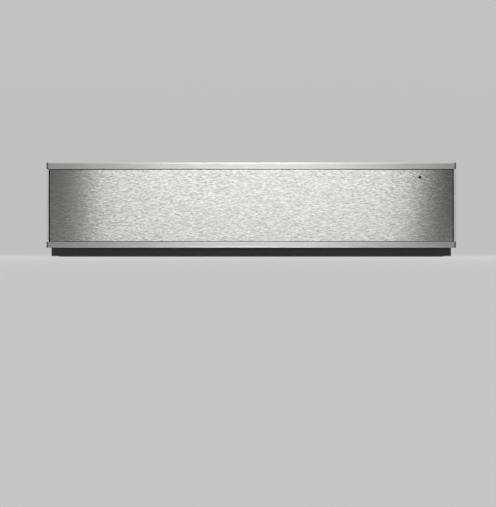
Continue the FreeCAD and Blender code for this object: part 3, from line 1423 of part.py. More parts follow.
def control_tray():
    """The black tray in the rim, with a lip all round, a hole for the spindle and four posts."""
    tray = Piece("control_tray")
    lip_x = ("control_left - control_lip", "control_right + control_lip")
    lip_y = ("control_y - control_lip", "control_end_y + control_lip")
    tray.pad("XY", [rectangle(lip_x, lip_y)], ("rim_height", "rim_height + control_lip_height"))
    body_x, body_y = ("control_left", "control_right"), ("control_y", "control_end_y")
    tray.pad("XY", [rectangle(body_x, body_y)], ("control_z", "rim_height"))
    inner_x = ("control_left + control_wall", "control_right - control_wall")
    inner_y = ("control_y + control_wall", "control_end_y - control_wall")
    sunk_z = ("control_floor", "rim_height + control_lip_height + past")
    tray.pocket("XY", [rectangle(inner_x, inner_y)], sunk_z)
    hole = ("dial_place", "dial_y", "spindle_radius + spindle_play")
    tray.pocket("XY", [hole], ("control_z - past", "control_floor + past"))
    tray.pad("XY", board_corners(), ("control_board_top", "control_z"))
    keep(tray.body, "control_tray")


def control_board():
    """The control board under the tray, and the rotary switch that the dial turns."""
    board = block(POSTS_X, POSTS_Y, ("control_board_z", "control_board_top"))
    switch_x = ("dial_place - switch_half", "dial_place + switch_half")
    switch_y = ("dial_y - switch_half", "dial_y + switch_half")
    switch = block(switch_x, switch_y, ("control_board_top", "switch_top"))
    start = ("dial_place", "dial_y", "switch_top - spindle_depth - spindle_play")
    bore = rod("Z", start, "spindle_radius + spindle_play", "2 * spindle_depth")
    keep(group(board, cut(switch, bore)), "control_board")


def selector_knob():
    """The dial: a round knob with a grip bar across its top and a spindle below."""
    knob = Piece("selector_knob")
    edge = "dial_round"
    knob.turn([
        ("0", "switch_top - spindle_depth"),
        ("spindle_radius", "switch_top - spindle_depth"),
        ("spindle_radius", "dial_z"),
        ("dial_radius", "dial_z"),
        ("dial_radius", f"dial_top - grip_sink - {edge}"),
        (f"dial_radius - {edge}", "dial_top - grip_sink"),
        ("0", "dial_top - grip_sink"),
    ], "dial_y", ("dial_place", "0"))
    bar_y = ("dial_y - dial_radius + 2 * dial_round", "dial_y + dial_radius - 2 * dial_round")
    bar_x = ("dial_place - grip_width / 2", "dial_place + grip_width / 2")
    knob.pad("XY", [rectangle(bar_x, bar_y)], ("dial_top - grip_sink", "dial_top"))
    top = number("dial_top")
    knob.round("dial_round", "XY", lambda middle: abs(middle.z - top) < NEAR)
    keep(knob.body, "selector_knob")


def lamp_board():
    """A small board on the tray's front wall, with the lamp that shines into the light pipe."""
    half = "lamp_board_half"
    across = (f"lens_place - {half}", f"lens_place + {half}")
    board = block(across, ("lamp_y", "control_y"), (f"lens_z - {half}", f"lens_z + {half}"))
    lamp = rod("Y", ("lens_place", "lamp_y - lamp_length", "lens_z"), "lamp_radius", "lamp_length")
    keep(group(board, lamp), "lamp_board")


control_tray()
control_board()
selector_knob()
lamp_board()


# ---------------------------------------------------------------------------------------------------------
# Checks, and one file for each sub-part.

doc.recompute()
for thing in doc.Objects:
    if "Invalid" in thing.State or "Error" in thing.State:
        raise RuntimeError(f"{thing.Label} failed")
for piece in made:
    shape = piece.Shape
    if shape.isNull() or not shape.isValid() or not shape.Solids or shape.Volume <= 0:
        raise RuntimeError(f"{piece.Label} is not a sound solid")

os.makedirs("parts", exist_ok=True)
for piece in made:
    piece.Shape.exportStep(f"parts/{piece.Label}.step")
print(len(made), "sub-parts")
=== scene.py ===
"""A built-in warming drawer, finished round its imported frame. Metres, +Z up, the drawer opens to -Y."""

import math
import random

import bmesh
import bpy
from mathutils import Matrix, Vector


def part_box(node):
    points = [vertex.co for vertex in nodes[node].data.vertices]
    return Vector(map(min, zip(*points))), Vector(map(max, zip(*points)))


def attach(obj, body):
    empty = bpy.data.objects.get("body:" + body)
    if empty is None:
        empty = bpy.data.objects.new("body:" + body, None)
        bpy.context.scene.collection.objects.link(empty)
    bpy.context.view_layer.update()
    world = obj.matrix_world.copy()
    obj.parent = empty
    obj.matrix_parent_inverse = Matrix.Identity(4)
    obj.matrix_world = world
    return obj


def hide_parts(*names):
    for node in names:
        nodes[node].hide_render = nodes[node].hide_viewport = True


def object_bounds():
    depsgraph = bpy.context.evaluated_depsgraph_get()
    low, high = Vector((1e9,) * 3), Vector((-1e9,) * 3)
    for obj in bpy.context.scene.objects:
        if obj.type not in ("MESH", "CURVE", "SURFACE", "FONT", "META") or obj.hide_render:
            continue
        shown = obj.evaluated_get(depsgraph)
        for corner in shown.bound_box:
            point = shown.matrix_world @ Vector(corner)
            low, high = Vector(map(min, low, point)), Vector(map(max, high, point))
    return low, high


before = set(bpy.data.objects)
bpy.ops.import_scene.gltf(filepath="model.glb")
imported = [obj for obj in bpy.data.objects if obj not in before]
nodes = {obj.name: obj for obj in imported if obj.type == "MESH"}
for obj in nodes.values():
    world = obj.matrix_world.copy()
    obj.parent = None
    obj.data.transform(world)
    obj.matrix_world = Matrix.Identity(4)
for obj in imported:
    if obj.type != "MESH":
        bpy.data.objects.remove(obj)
cad_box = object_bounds()

# ---------------------------------------------------------------------------------------------------------
# Housing sheets. Base, sides, back, cover and partition are folded from 1 mm hot-dip zinc-coated steel
# and riveted and screwed together. The zinc freezes in flat crystals about 7 mm across.

MM = 0.001


def colour(code):
    """A linear colour from an sRGB hex value."""
    parts = [int(code[i : i + 2], 16) / 255 for i in (1, 3, 5)]
    return [p / 12.92 if p <= 0.04045 else ((p + 0.055) / 1.055) ** 2.4 for p in parts] + [1]


def add(tree, kind, inputs=None, **settings):
    """Adds a node. Each input gets a value, or the output that it is linked to."""
    node = tree.nodes.new("ShaderNode" + kind)
    for name, value in settings.items():
        setattr(node, name, value)
    for name, value in (inputs or {}).items():
        if isinstance(value, bpy.types.NodeSocket):
            tree.links.new(value, node.inputs[name])
        else:
            node.inputs[name].default_value = value
    return node


def start(name, **plain):
    """A new material: its node tree, its shader with the plain values set, and object coordinates."""
    material = bpy.data.materials.new(name)
    material.use_nodes = True
    tree = material.node_tree
    shader = tree.nodes["Principled BSDF"]
    for socket, value in plain.items():
        shader.inputs[socket.replace("_", " ")].default_value = value
    return material, tree, shader, add(tree, "TexCoord").outputs["Object"]


def texture(tree, shader, tint, dull=None, relief=None):
    """Lets patterns move the colour, the roughness and the surface. Each is a pattern from 0 to 1 and two
    values: the colours or the roughnesses at its ends, or the relief's strength and depth."""
    level, dark, light = tint
    shade = add(tree, "Mix", {0: level, 6: dark, 7: light}, data_type="RGBA")
    tree.links.new(shade.outputs[2], shader.inputs["Base Color"])
    if dull:
        level, first, last = dull
        rough = add(tree, "MapRange", {"Value": level, "To Min": first, "To Max": last})
        tree.links.new(rough.outputs[0], shader.inputs["Roughness"])
    if relief:
        height, strength, depth = relief
        bump = add(tree, "Bump", {"Height": height, "Strength": strength, "Distance": depth})
        tree.links.new(bump.outputs[0], shader.inputs["Normal"])


def dress(material, *names):
    """Gives a material to nodes whose shape is already right."""
    for name in names:
        nodes[name].data.materials.clear()
        nodes[name].data.materials.append(material)


def zinc_coated_sheet():
    """Hot-dip zinc on steel: grey, half matt, each crystal a little lighter or darker."""
    material, tree, shader, where = start("zinc_coated_sheet", Metallic=1.0)
    crystals = add(tree, "TexVoronoi", {"Vector": where, "Scale": 1 / (7 * MM)})
    bands = add(tree, "TexNoise", {"Vector": where, "Scale": 1 / (60 * MM), "Detail": 4.0})
    both = add(tree, "Math", {0: crystals.outputs["Color"], 1: bands.outputs["Fac"]}, operation="ADD")
    level = add(tree, "MapRange", {"Value": both.outputs[0], "From Min": 0.2, "From Max": 1.6}).outputs[0]
    tint = (level, colour("#b3b4b5"), colour("#c6c7c7"))
    dull = (level, 0.46, 0.38)
    edges = (crystals.outputs["Distance"], 0.08, 0.1 * MM)
    texture(tree, shader, tint, dull, edges)
    return material


zinc = zinc_coated_sheet()
dress(zinc, "base_pan", "right_side_wall", "left_side_wall", "rear_wall", "top_cover", "partition")

# ---------------------------------------------------------------------------------------------------------
# Slide rivets. Six zinc-plated steel rivets hold the outer slide members to the side walls. Their
# factory heads lie outside the housing, low and domed.

SHARP_TURN = 35
ON_AXIS = 1e-7
SAME_POINT = 0.001 * MM


def new_piece(name, bm, material, sharp=SHARP_TURN):
    """An object from a bmesh, smooth but for edges that turn by more than an angle."""
    bmesh.ops.recalc_face_normals(bm, faces=bm.faces)
    mesh = bpy.data.meshes.new(name)
    bm.to_mesh(mesh)
    bm.free()
    mesh.materials.append(material)
    mesh.shade_smooth()
    mesh.set_sharp_from_angle(angle=math.radians(sharp))
    thing = bpy.data.objects.new(name, mesh)
    bpy.context.scene.collection.objects.link(thing)
    return thing


def lathe(bm, profile, centre, axis, steps=32):
    """Turns (radius, distance along the axis) points about an axis through a centre."""
    way = Vector(axis).normalized()
    side = way.orthogonal().normalized()
    other = way.cross(side)
    rings = []
    for radius, along in profile:
        middle = Vector(centre) + way * along
        if radius < ON_AXIS:
            rings.append([bm.verts.new(middle)])
            continue
        angles = [2 * math.pi * i / steps for i in range(steps)]
        ring = [middle + radius * (math.cos(a) * side + math.sin(a) * other) for a in angles]
        rings.append([bm.verts.new(point) for point in ring])
    for low, high in zip(rings, rings[1:]):
        for i in range(steps):
            j = i + 1
            corners = [low[i % len(low)], low[j % len(low)], high[j % len(high)], high[i % len(high)]]
            unique = list(dict.fromkeys(corners))
            if len(unique) > 2:
                bm.faces.new(unique)


def quarter(steps):
    """The angles of a quarter turn, in equal steps."""
    return [math.pi / 2 * i / steps for i in range(steps + 1)]


def lumps(name):
    """The box of each separate solid of a node, as (lowest corner, highest corner), from -X to +X."""
    bm = bmesh.new()
    bm.from_mesh(nodes[name].data)
    bmesh.ops.remove_doubles(bm, verts=bm.verts, dist=SAME_POINT)
    boxes, seen = [], set()
    for first in bm.verts:
        if first in seen:
            continue
        front, solid = [first], {first}
        while front:
            for edge in front.pop().link_edges:
                for vert in edge.verts:
                    if vert not in solid:
                        solid.add(vert)
                        front.append(vert)
        seen |= solid
        corners = [[vert.co[i] for vert in solid] for i in range(3)]
        boxes.append((Vector(map(min, corners)), Vector(map(max, corners))))
    bm.free()
    return sorted(boxes, key=lambda box: tuple(box[0]))


def zinc_plate(name, tone):
    """Electroplated zinc, clear passivated: bright, faintly blue, softly cloudy over the drawn steel's
    lines. These are drawn nine to the centimetre, coarser than real ones, so that they show."""
    line = 10 / 9 * MM
    line_length = 25 * MM
    material, tree, shader, where = start(name, Metallic=1.0)
    cloud = add(tree, "TexNoise", {"Vector": where, "Scale": 1 / (14 * MM), "Detail": 5.0})
    drawn = add(tree, "Mapping", {"Vector": where, "Scale": (1 / line, 1 / line_length, 1 / line)})
    lines = add(tree, "TexNoise", {"Vector": drawn.outputs[0], "Scale": 1.0, "Detail": 2.0})
    mixed = add(tree, "Math", {0: cloud.outputs["Fac"], 1: lines.outputs["Fac"]}, operation="MULTIPLY")
    level = {"Value": mixed.outputs[0], "From Min": 0.12, "From Max": 0.42}
    level = add(tree, "MapRange", level).outputs[0]
    tint = (level, colour(tone), colour("#d0d3d5"))
    dull = (level, 0.38, 0.24)
    texture(tree, shader, tint, dull)
    return material


RIVET_SHANK = 2 * MM
RIVET_RISE = 1.2 * MM
RIVET_STEPS = 5

bright_zinc = zinc_plate("bright_zinc_plate", "#acafb2")
bm = bmesh.new()
for low, high in lumps("outer_rail_rivets"):
    middle = (low + high) / 2
    side = math.copysign(1, middle.x)
    foot = Vector((min(abs(low.x), abs(high.x)) * side, middle.y, middle.z))
    reach = high.x - low.x
    head = (high.y - low.y) / 2
    rim = reach - RIVET_RISE
    turns = quarter(RIVET_STEPS)[:-1]
    dome = [(head * math.cos(a), reach - RIVET_RISE * (1 - math.sin(a))) for a in turns]
    lathe(bm, [(0, 0), (RIVET_SHANK, 0), (RIVET_SHANK, rim), *dome, (0, reach)], foot, (side, 0, 0))
rivets = new_piece("side_rivets", bm, bright_zinc)
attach(rivets, "housing")
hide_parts("outer_rail_rivets")

# ---------------------------------------------------------------------------------------------------------
# Spot welds. The flanges of the back wall and the partition are welded inside the side walls. Each weld
# leaves a shallow ring from the electrode, where the zinc is burnt to a dull straw grey.


def burnt_zinc():
    """Zinc after a spot weld: dull, straw to grey, clouded in rings a millimetre or two wide."""
    material, tree, shader, where = start("burnt_zinc", Metallic=0.9)
    cloud = add(tree, "TexNoise", {"Vector": where, "Scale": 1 / (1.5 * MM), "Detail": 3.0})
    tint = (cloud.outputs["Fac"], colour("#8c8983"), colour("#b9b6b0"))
    dull = (cloud.outputs["Fac"], 0.45, 0.6)
    texture(tree, shader, tint, dull)
    return material


WELD_RADIUS = 2.6 * MM
WELD_RIDGE = 0.12 * MM
RIDGE_INSIDE = WELD_RADIUS * 0.75
DISH_RADIUS = WELD_RADIUS * 0.6
DISH_HEIGHT = WELD_RIDGE / 3
WELDS_UP = (0.2, 0.5, 0.8)
FLANGE_MIDDLE = 6.5 * MM

weld_profile = [
    (0, 0), (WELD_RADIUS, 0), (WELD_RADIUS - WELD_RIDGE, WELD_RIDGE), (RIDGE_INSIDE, WELD_RIDGE),
    (DISH_RADIUS, DISH_HEIGHT), (0, DISH_HEIGHT),
]
bm = bmesh.new()
wall_low, wall_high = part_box("right_side_wall")
for sheet in ("partition", "rear_wall"):
    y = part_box(sheet)[0].y + FLANGE_MIDDLE
    for up in WELDS_UP:
        z = wall_low.z + up * (wall_high.z - wall_low.z)
        for side in (-1, 1):
            lathe(bm, weld_profile, (side * wall_high.x, y, z), (side, 0, 0), 24)
welds = new_piece("spot_welds", bm, burnt_zinc())
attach(welds, "housing")

# ---------------------------------------------------------------------------------------------------------
# Cover screws. Six countersunk, zinc-plated steel screws hold the cover on the housing and lie flush
# with it. Each has a cross recess.


def cut_away(thing, cutter, operation="DIFFERENCE"):
    """Cuts one object out of another, or joins it on, and throws the second away."""
    change = thing.modifiers.new("change", "BOOLEAN")
    change.object = cutter
    change.operation = operation
    change.solver = "EXACT"
    change.use_self = True
    ready = thing.evaluated_get(bpy.context.evaluated_depsgraph_get())
    mesh = bpy.data.meshes.new_from_object(ready)
    thing.modifiers.clear()
    thing.data = mesh
    bpy.data.objects.remove(cutter)
    mesh.set_sharp_from_angle(angle=math.radians(SHARP_TURN))


def box_into(bm, low, high, soften=0.0, steps=2):
    """Adds a box, with its edges rounded by a radius."""
    size = Vector(high) - Vector(low)
    made = bmesh.ops.create_cube(bm, size=1)["verts"]
    for vert in made:
        vert.co = Vector([low[i] + (vert.co[i] + 0.5) * size[i] for i in range(3)])
    if soften:
        edges = {edge for vert in made for edge in vert.link_edges}
        bmesh.ops.bevel(bm, geom=list(edges), offset=soften, segments=steps, profile=0.5, affect="EDGES")


HEAD_HEIGHT = 1.2 * MM
TIP_HEIGHT = 1 * MM
TIP_SHARE = 0.4
CROSS_LENGTH = 3.4 * MM
CROSS_WIDTH = 0.9 * MM
CROSS_DEPTH = 0.8 * MM

bm = bmesh.new()
crosses = bmesh.new()
for low, high in lumps("cover_screws"):
    middle = (low + high) / 2
    head = (high.x - low.x) / 2
    shank = head / 2
    tall = high.z - low.z
    lathe(bm, [
        (0, 0), (shank * TIP_SHARE, 0), (shank, TIP_HEIGHT),
        (shank, tall - HEAD_HEIGHT), (head, tall), (0, tall),
    ], (middle.x, middle.y, low.z), (0, 0, 1))
    for long_x, long_y in ((CROSS_LENGTH, CROSS_WIDTH), (CROSS_WIDTH, CROSS_LENGTH)):
        reach = Vector((long_x, long_y, 2 * CROSS_DEPTH)) / 2
        spot = Vector((middle.x, middle.y, high.z))
        box_into(crosses, spot - reach, spot + reach)
screws = new_piece("cover_screw_heads", bm, bright_zinc)
cut_away(screws, new_piece("crosses", crosses, bright_zinc))
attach(screws, "housing")
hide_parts("cover_screws")

# ---------------------------------------------------------------------------------------------------------
# Cable gland. A black nylon moulding through the back wall, with its flange inside. It has a rounded
# mouth outside and six clamping fingers inside.


def moulded(name, tone, grit=0.9, rough=0.5):
    """Injection-moulded plastic: even colour, half matt, with the fine spark grain of its mould."""
    material, tree, shader, where = start(name)
    grain = add(tree, "TexNoise", {"Vector": where, "Scale": 1 / (grit * MM), "Detail": 2.0})
    flow = add(tree, "TexNoise", {"Vector": where, "Scale": 1 / (35 * MM), "Detail": 3.0})
    lighter = [min(1, c * 1.35) for c in colour(tone)]
    tint = (flow.outputs["Fac"], colour(tone), lighter)
    dull = (grain.outputs["Fac"], rough - 0.1, rough + 0.1)
    pits = (grain.outputs["Fac"], 0.35, 0.04 * MM)
    texture(tree, shader, tint, dull, pits)
    return material


GLAND_BORE = 4 * MM
GLAND_THREAD = 8 * MM
GLAND_EDGE = 1 * MM
GLAND_MOUTH = 1.5 * MM
GLAND_LIP = 0.4 * MM
FLANGE_FROM_END = (4 * MM, 1 * MM)
FLANGE_EDGE = 0.5 * MM
FINGERS = 6
SLIT_WIDTH = 0.7 * MM
SLIT_ALONG = (-1 * MM, 8 * MM)
SLIT_RADII = (3 * MM, 9 * MM)

black_nylon = moulded("black_nylon", "#17181a")
low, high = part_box("cable_gland")
centre = Vector(((low.x + high.x) / 2, low.y, (low.z + high.z) / 2))
flange = (high.x - low.x) / 2
length = high.y - low.y
back, front = [length - distance for distance in FLANGE_FROM_END]
bm = bmesh.new()
lathe(bm, [
    (GLAND_BORE, 0), (GLAND_THREAD - GLAND_EDGE, 0), (GLAND_THREAD, GLAND_EDGE), (GLAND_THREAD, back),
    (flange - FLANGE_EDGE, back), (flange, back + FLANGE_EDGE), (flange, front - FLANGE_EDGE),
    (flange - FLANGE_EDGE, front), (GLAND_THREAD, front), (GLAND_THREAD, length - GLAND_LIP),
    (GLAND_THREAD - GLAND_LIP, length), (GLAND_BORE + GLAND_MOUTH, length),
    (GLAND_BORE, length - GLAND_MOUTH), (GLAND_BORE, 0),
], centre, (0, 1, 0), 48)
gland = new_piece("gland", bm, black_nylon)
bm = bmesh.new()
for i in range(FINGERS):
    turn = Matrix.Rotation(2 * math.pi * i / FINGERS, 4, "Y")
    before = set(bm.verts)
    box_into(
        bm, (-SLIT_WIDTH / 2, SLIT_ALONG[0], SLIT_RADII[0]), (SLIT_WIDTH / 2, SLIT_ALONG[1], SLIT_RADII[1]),
    )
    for vert in set(bm.verts) - before:
        vert.co = turn @ vert.co + centre
cut_away(gland, new_piece("finger_slits", bm, black_nylon))
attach(gland, "housing")
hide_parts("cable_gland")

# ---------------------------------------------------------------------------------------------------------
# Frame round the mouth. Steel round the front edge of the housing, in a dark grey powder coat, fused in
# an oven to a fine orange peel. Its lower bar is the band under the front.


def powder_coat(name, tone):
    """Baked powder on steel: almost matt, softly rippled, no metal showing."""
    material, tree, shader, where = start(name, Coat_Weight=0.15, Coat_Roughness=0.35)
    peel = add(tree, "TexNoise", {"Vector": where, "Scale": 1 / (1.6 * MM), "Detail": 2.0})
    dust = add(tree, "TexNoise", {"Vector": where, "Scale": 1 / (45 * MM), "Detail": 5.0})
    tint = (dust.outputs["Fac"], colour(tone), [min(1, c * 1.5) for c in colour(tone)])
    dull = (peel.outputs["Fac"], 0.42, 0.62)
    ripple = (peel.outputs["Fac"], 0.3, 0.08 * MM)
    texture(tree, shader, tint, dull, ripple)
    return material


dress(powder_coat("dark_powder_coat", "#2b2c2e"), "front_frame")

# ---------------------------------------------------------------------------------------------------------
# Frame seal. A moulded silicone bulb round the mouth, pressed into the frame. The closed front lies
# against it and keeps the warm air in.


def outline(low, high, radius, plane, at, steps=6):
    """A rounded rectangle between two corners of a plane, XY at a height or XZ at a depth."""
    points = []
    for i, (cx, cy) in enumerate(((1, 1), (0, 1), (0, 0), (1, 0))):
        x = high[0] - radius if cx else low[0] + radius
        y = high[1] - radius if cy else low[1] + radius
        for j in range(steps + 1):
            a = math.pi / 2 * (i + j / steps)
            px, py = x + radius * math.cos(a), y + radius * math.sin(a)
            points.append(Vector((px, py, at) if plane == "XY" else (px, at, py)))
    return points


def loft(bm, rings, closed=True):
    """Skins a stack of rings with as many points each. Joins the last to the first, or closes both ends."""
    stack = [[bm.verts.new(point) for point in ring] for ring in rings]
    pairs = list(zip(stack, stack[1:]))
    if closed:
        pairs.append((stack[-1], stack[0]))
    else:
        bm.faces.new(stack[0])
        bm.faces.new(stack[-1])
    count = len(stack[0])
    for low, high in pairs:
        for i in range(count):
            j = (i + 1) % count
            bm.faces.new((low[i], low[j], high[j], high[i]))


def rubbery(name, tone, rough=0.72, gloss=0.35):
    """Cured rubber or silicone: dark, soft, dull, with a faint bloom of dust."""
    material, tree, shader, where = start(name, Specular_IOR_Level=gloss)
    bloom = add(tree, "TexNoise", {"Vector": where, "Scale": 1 / (8 * MM), "Detail": 5.0})
    tint = (bloom.outputs["Fac"], colour(tone), [c * 1.6 for c in colour(tone)[:3]] + [1])
    dull = (bloom.outputs["Fac"], rough - 0.08, rough + 0.08)
    skin = (bloom.outputs["Fac"], 0.2, 0.1 * MM)
    texture(tree, shader, tint, dull, skin)
    return material


SEAL_WIDTH = 4.5 * MM
SEAL_CORNER = 5 * MM
CORNER_SHRINK = 0.8
SEAL_LIP = 0.4 * MM
SEAL_FOOT = 0.25
SEAL_STEPS = 8

seal_low, seal_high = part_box("frame_seal")


def seal_ring(inset, y):
    """The seal's outline, moved inward by a distance, at a depth."""
    low = (seal_low.x + inset, seal_low.z + inset)
    high = (seal_high.x - inset, seal_high.z - inset)
    return outline(low, high, SEAL_CORNER - CORNER_SHRINK * inset, "XZ", y)


rings = []
for i in range(SEAL_STEPS + 1):
    a = math.pi * i / SEAL_STEPS
    rise = (seal_high.y - seal_low.y) * (SEAL_FOOT + (1 - SEAL_FOOT) * math.sin(a))
    rings.append(seal_ring(SEAL_WIDTH / 2 * (1 - math.cos(a)), seal_high.y - rise))
rings += [seal_ring(inset, seal_high.y) for inset in (SEAL_WIDTH - SEAL_LIP, SEAL_LIP)]
bm = bmesh.new()
loft(bm, rings)
seal = new_piece("mouth_seal", bm, rubbery("grey_silicone", "#242527"))
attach(seal, "housing")
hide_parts("frame_seal")

# ---------------------------------------------------------------------------------------------------------
# Ball slides. Roll-formed steel members with clear zinc plate, hardened balls in thin spring-steel
# cages, and flush rivets inside the drawer. A film of grease keeps them bright.

slide_zinc = zinc_plate("slide_zinc_plate", "#a3a7ab")
for side in ("right", "left"):
    dress(slide_zinc, f"{side}_outer_rail", f"{side}_middle_rail", f"{side}_inner_rail")
dress(slide_zinc, "inner_rail_rivets")


def ball_and_cage_steel():
    """Polished bearing steel: nearly a mirror, dulled a little by grease."""
    material, tree, shader, where = start("bearing_steel", Metallic=1.0)
    grease = add(tree, "TexNoise", {"Vector": where, "Scale": 1 / (3 * MM), "Detail": 3.0})
    tint = (grease.outputs["Fac"], colour("#b9bbbd"), colour("#e2e3e4"))
    dull = (grease.outputs["Fac"], 0.1, 0.3)
    texture(tree, shader, tint, dull)
    return material


dress(ball_and_cage_steel(), "outer_cages", "inner_cages", "fan_shaft", "motor_rotor")

# ---------------------------------------------------------------------------------------------------------
# Hot-air unit. A drawn aluminium cover, a pressed aluminium wheel with its nut, and a tubular heater
# whose steel sheath has turned dark and straw-coloured in use.


def pressed_aluminium():
    """Deep-drawn aluminium sheet: pale, silky, with faint drawing lines 40 mm long. These are drawn seven
    to the centimetre, coarser than real ones, so that they show."""
    line = 10 / 7 * MM
    line_length = 40 * MM
    material, tree, shader, where = start("pressed_aluminium", Metallic=1.0)
    drawn = add(tree, "Mapping", {"Vector": where, "Scale": (1 / line_length, 1 / line, 1 / line)})
    lines = add(tree, "TexNoise", {"Vector": drawn.outputs[0], "Scale": 1.0, "Detail": 3.0})
    tint = (lines.outputs["Fac"], colour("#a5a7a8"), colour("#dcdddd"))
    dull = (lines.outputs["Fac"], 0.32, 0.48)
    texture(tree, shader, tint, dull)
    return material


def oxidised_heater_tube():
    """Heater sheath: steel with a dark oxide, in cloudy straw and blue-grey bands."""
    material, tree, shader, where = start("oxidised_heater_tube", Metallic=0.85)
    bands = add(tree, "TexNoise", {"Vector": where, "Scale": 1 / (18 * MM), "Detail": 4.0})
    tint = (bands.outputs["Fac"], colour("#3a3532"), colour("#85786a"))
    dull = (bands.outputs["Fac"], 0.62, 0.4)
    texture(tree, shader, tint, dull)
    return material


dress(pressed_aluminium(), "fan_cover", "fan_wheel")
dress(oxidised_heater_tube(), "ring_heater")
dress(bright_zinc, "fan_nut")

# ---------------------------------------------------------------------------------------------------------
# Fan motor. A shaded-pole motor: a stack of varnished iron laminations, a copper coil, two zinc-plated
# brackets and two long studs.

# A wave texture of scale 1 repeats at this distance.
WAVE_REPEAT = math.pi / 10


def laminated_iron():
    """Punched electrical sheet under brown-black varnish: its layers show as level lines. They are half a
    millimetre thick, and drawn 1.9 mm apart so that they show."""
    material, tree, shader, where = start("laminated_iron", Metallic=0.6, Roughness=0.42)
    scale = WAVE_REPEAT / (1.885 * MM)
    layers = add(tree, "TexWave", {"Vector": where, "Scale": scale, "Distortion": 0.3}, bands_direction="Y")
    tint = (layers.outputs["Fac"], colour("#2f2d2d"), colour("#56514e"))
    ridges = (layers.outputs["Fac"], 0.4, 0.1 * MM)
    texture(tree, shader, tint, relief=ridges)
    return material


def enamelled_copper():
    """Enamelled copper wire wound in layers: a glossy red-brown, lined by its turns. The lines are drawn
    2.8 mm apart, coarser than the wire, so that they show."""
    material, tree, shader, where = start("enamelled_copper", Metallic=0.8, Roughness=0.3)
    scale = WAVE_REPEAT / (2.827 * MM)
    turns = add(tree, "TexWave", {"Vector": where, "Scale": scale, "Distortion": 0.6}, bands_direction="X")
    tint = (turns.outputs["Fac"], colour("#5a2c17"), colour("#b5683c"))
    ridges = (turns.outputs["Fac"], 0.7, 0.3 * MM)
    texture(tree, shader, tint, relief=ridges)
    return material


dress(laminated_iron(), "motor_stack")
dress(enamelled_copper(), "motor_coil")
dress(bright_zinc, "motor_front_bracket", "motor_rear_bracket", "motor_studs")

# ---------------------------------------------------------------------------------------------------------
# Electronics. Glass-fibre boards under green solder mask in a black tray, dark relays and transformer,
# a pale ceramic-filled terminal block and a temperature limiter in plated steel.


def solder_mask():
    """Green lacquer over copper tracks: glossy, with the tracks as lighter, squared lines 3.5 mm apart."""
    material, tree, shader, where = start("solder_mask", Roughness=0.25, Coat_Weight=0.4)
    tracks = add(tree, "TexBrick", {
        "Vector": where, "Scale": 1 / (14 * MM), "Mortar Size": 0.05,
        "Color1": colour("#0f4a2c"), "Color2": colour("#135233"), "Mortar": colour("#2c7a4c"),
    })
    tree.links.new(tracks.outputs["Color"], shader.inputs["Base Color"])
    return material


board_green = solder_mask()
dress(board_green, "power_board", "control_board", "lamp_board")
dress(black_nylon, "board_tray", "magnet_catch")
dress(moulded("relay_case", "#22262e", rough=0.35), "power_relays", "board_transformer")
dress(moulded("pale_terminal_plastic", "#d3d0c6"), "terminal_block")
dress(bright_zinc, "thermal_limiter")

# ---------------------------------------------------------------------------------------------------------
# Drawer pan. The tray that rides on the slides, folded from the same zinc-coated sheet, with a plated
# strike plate for the closing magnet and four plated screws into the front.

dress(zinc, "drawer_pan")
dress(bright_zinc, "strike_plate", "front_screws")

# ---------------------------------------------------------------------------------------------------------
# Tub. Deep-drawn 0.8 mm stainless steel with a satin finish. The press leaves a soft bend from rim to
# wall, and a tighter one round the ledge. Slots are punched in its back wall, and a well in its rim.

# Hairlines are this many times finer, and longer, than the coarse scratches.
HAIRLINE = 2.5
HAIRLINE_SHARE = 0.3
# The highlight is drawn out this way: up and down on an upright face, front to back on a level one.
HIGHLIGHT_WAY = (0, 0.6, 0.8)


def brushed_metal(name, dark, light, grain, rough, spread, bite, steps=(0.34, 0.66)):
    """A metal rubbed one way. Grain is the length of a scratch along X, Y and Z in millimetres, and those
    thinner than a millimetre are drawn as coarse as they show. Spread is how far the highlight is drawn
    out, bite is how deep the scratches look, and steps are the noise that gives the dark and the light."""
    material, tree, shader, where = start(name, Metallic=1.0, Anisotropic=spread)
    layers = []
    for finer, detail in ((1, 1.0), (HAIRLINE, 0.0)):
        thin = [finer if size < max(grain) else 1 / finer for size in grain]
        scale = [1 / (size * MM) * thinner for size, thinner in zip(grain, thin)]
        fitted = add(tree, "Mapping", {"Vector": where, "Scale": scale})
        layers.append(add(tree, "TexNoise", {"Vector": fitted.outputs[0], "Scale": 1.0, "Detail": detail}))
    both = {0: HAIRLINE_SHARE, 2: layers[0].outputs["Fac"], 3: layers[1].outputs["Fac"]}
    level = {"Value": add(tree, "Mix", both).outputs[0], "From Min": steps[0], "From Max": steps[1]}
    level = add(tree, "MapRange", level).outputs[0]
    tint = (level, colour(dark), colour(light))
    dull = (level, rough * 1.15, rough * 0.9)
    grooves = (level, bite, 0.05 * MM)
    texture(tree, shader, tint, dull, grooves)
    way = add(tree, "CombineXYZ", dict(zip("XYZ", HIGHLIGHT_WAY)))
    tree.links.new(way.outputs[0], shader.inputs["Tangent"])
    return material


TUB_SHEET = 0.8 * MM
TUB_CORNER = 15 * MM
GLASS_PLAY = 0.7 * MM
RIM_BEND = 2.6 * MM
LEDGE_BEND = 1.2 * MM
LEDGE_WIDTH = 12 * MM
LEDGE_CORNER = 4 * MM
BEND_STEPS = 5
RIM_EDGE = 0.5 * MM
SLOT_SIZE = Vector((4, 6, 44)) * MM
SLOT_PITCH = 11 * MM
SIDE_SLOTS = 84 * MM
SIDE_PITCH = 9 * MM
WELL_LIP = Vector((2 * MM, 2 * MM, 0))
PUNCH_STROKE = Vector((0, 0, 5 * MM))

rim_low, rim_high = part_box("drawer_tub")
glass_low, glass_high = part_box("glass_floor")
tub_low = Vector((glass_low.x - GLASS_PLAY, glass_low.y - GLASS_PLAY))
tub_high = Vector((glass_high.x + GLASS_PLAY, glass_high.y + GLASS_PLAY))


